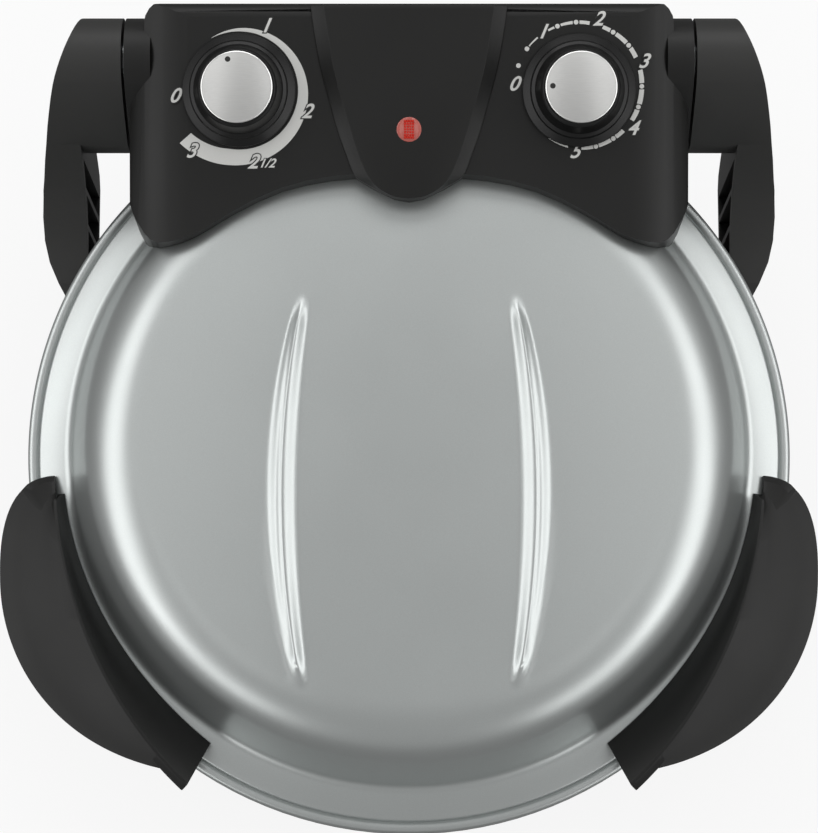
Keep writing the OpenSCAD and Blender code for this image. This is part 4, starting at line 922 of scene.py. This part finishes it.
class OBJECT_OT_pizza_stage(bpy.types.Operator):
    """Sets up the pale floor, the soft lights and the camera"""
    bl_idname = "object.pizza_stage"
    bl_label = "Stage"

    def execute(self, context):
        scene = context.scene
        scene.view_settings.view_transform = "Standard"
        bm = bmesh.new()
        bmesh.ops.create_grid(bm, x_segments=1, y_segments=1, size=FLOOR_HALF)
        mesh = bpy.data.meshes.new("floor")
        bm.to_mesh(mesh)
        bm.free()
        floor = bpy.data.objects.new("floor", mesh)
        scene.collection.objects.link(floor)
        material = bpy.data.materials.new("matt_white_table")
        material.use_nodes = True
        tree = material.node_tree
        tree.nodes.clear()
        path = add(tree, "ShaderNodeLightPath")
        # Nearly white to the camera, with soft shadows, and a dark grey in the object's reflections
        seen, mirrored = path.outputs["Is Camera Ray"], path.outputs["Is Glossy Ray"]
        white = add(tree, "ShaderNodeMath", {0: seen, 1: FLOOR_GLOW}, operation="MULTIPLY")
        share = add(tree, "ShaderNodeMath", {0: white.outputs[0], 1: mirrored}, operation="MAXIMUM")
        strength = add(tree, "ShaderNodeMapRange", {
            "Value": mirrored, "To Min": 1.0, "To Max": FLOOR_MIRRORED})
        plain = add(tree, "ShaderNodeBsdfDiffuse", {"Color": linear("#E6E6E6")})
        glow = add(tree, "ShaderNodeEmission", {
            "Color": linear("#FFFFFF"), "Strength": strength.outputs["Result"]})
        mixed = add(tree, "ShaderNodeMixShader", {
            0: share.outputs[0], 1: plain.outputs[0], 2: glow.outputs[0]})
        add(tree, "ShaderNodeOutputMaterial", {"Surface": mixed.outputs[0]})
        mesh.materials.append(material)

        world = bpy.data.worlds.new("studio")
        world.use_nodes = True
        scene.world = world
        tree = world.node_tree
        tree.nodes.clear()
        place = add(tree, "ShaderNodeTexCoord").outputs["Generated"]
        axes = add(tree, "ShaderNodeSeparateXYZ", {"Vector": place})
        strength = add(tree, "ShaderNodeMapRange", {
            "Value": axes.outputs["Y"], "From Min": -0.6, "From Max": 0.2,
            "To Min": SKY_FRONT, "To Max": SKY_REAR})
        sky = add(tree, "ShaderNodeBackground", {
            "Color": linear("#FFFFFF"), "Strength": strength.outputs["Result"]})
        add(tree, "ShaderNodeOutputWorld", {"Surface": sky.outputs[0]})

        # On each side a wide softbox, lower at its front end, a faint strip near the top and a low card
        aim = (0, 0, 0.1)
        for name, side in (("left", -1), ("right", 1)):
            area_light(name + "_softbox", (side * 1.66, 0.1, 1.02), aim, (2.8, 1.0), 16, 28 * side)
            area_light(name + "_strip", (side * 0.62, 0.1, 1.88), aim, (2.2, 0.33), 1.5)
            area_light(name + "_card", (side * 1.25, -1.2, 0.5), (0, 0, 0.12), (1.1, 0.6), 3.0)
        area_light("rear_softbox", (0, 1.5, 1.3), aim, (1.6, 0.7), 10)

        camera = bpy.data.cameras.new("camera")
        camera.sensor_fit = "HORIZONTAL"
        camera.sensor_width = SENSOR
        camera.lens = FOCAL_PX / PHOTO_W * SENSOR
        camera.clip_start = 0.05
        view = bpy.data.objects.new("camera", camera)
        scene.collection.objects.link(view)
        target = Vector(CAMERA_TARGET) * MM
        place = target + Vector(CAMERA_OFFSET) * MM
        turn = (target - place).to_track_quat("-Z", "Y")
        view.matrix_world = Matrix.Translation(place) @ turn.to_matrix().to_4x4()
        scene.camera = view
        return {"FINISHED"}


class VIEW3D_PT_pizza_maker(bpy.types.Panel):
    """Lists the steps that build the pizza maker"""
    bl_idname = "VIEW3D_PT_pizza_maker"
    bl_label = "Pizza maker"
    bl_space_type = "VIEW_3D"
    bl_region_type = "UI"
    bl_category = "Pizza maker"

    def draw(self, context):
        for group in (context.scene.pizza_maker_sizes, context.scene.pizza_maker_colours):
            for name in group.bl_rna.properties.keys():
                if name not in ("rna_type", "name"):
                    self.layout.prop(group, name)
        for step in STEPS:
            self.layout.operator(step.bl_idname)


STEPS = (
    OBJECT_OT_pizza_stage, OBJECT_OT_pizza_lid, OBJECT_OT_pizza_housing, OBJECT_OT_pizza_markings,
    OBJECT_OT_pizza_knobs, OBJECT_OT_pizza_lamp, OBJECT_OT_pizza_lid_handles, OBJECT_OT_pizza_arms,
    OBJECT_OT_pizza_bowl, OBJECT_OT_pizza_oven,
)
CLASSES = (PizzaMakerSizes, PizzaMakerColours, *STEPS, VIEW3D_PT_pizza_maker)


def register():
    for kind in CLASSES:
        bpy.utils.register_class(kind)
    bpy.types.Scene.pizza_maker_sizes = PointerProperty(type=PizzaMakerSizes)
    bpy.types.Scene.pizza_maker_colours = PointerProperty(type=PizzaMakerColours)


def unregister():
    del bpy.types.Scene.pizza_maker_colours
    del bpy.types.Scene.pizza_maker_sizes
    for kind in reversed(CLASSES):
        bpy.utils.unregister_class(kind)


def main():
    """Builds the whole object with the operators."""
    register()
    bpy.ops.object.pizza_stage()
    bpy.ops.object.pizza_lid()
    bpy.ops.object.pizza_housing()
    bpy.ops.object.pizza_markings()
    bpy.ops.object.pizza_knobs()
    bpy.ops.object.pizza_lamp()
    bpy.ops.object.pizza_lid_handles()
    bpy.ops.object.pizza_arms()
    bpy.ops.object.pizza_bowl()
    bpy.ops.object.pizza_oven()


if __name__ == "__main__":
    main()
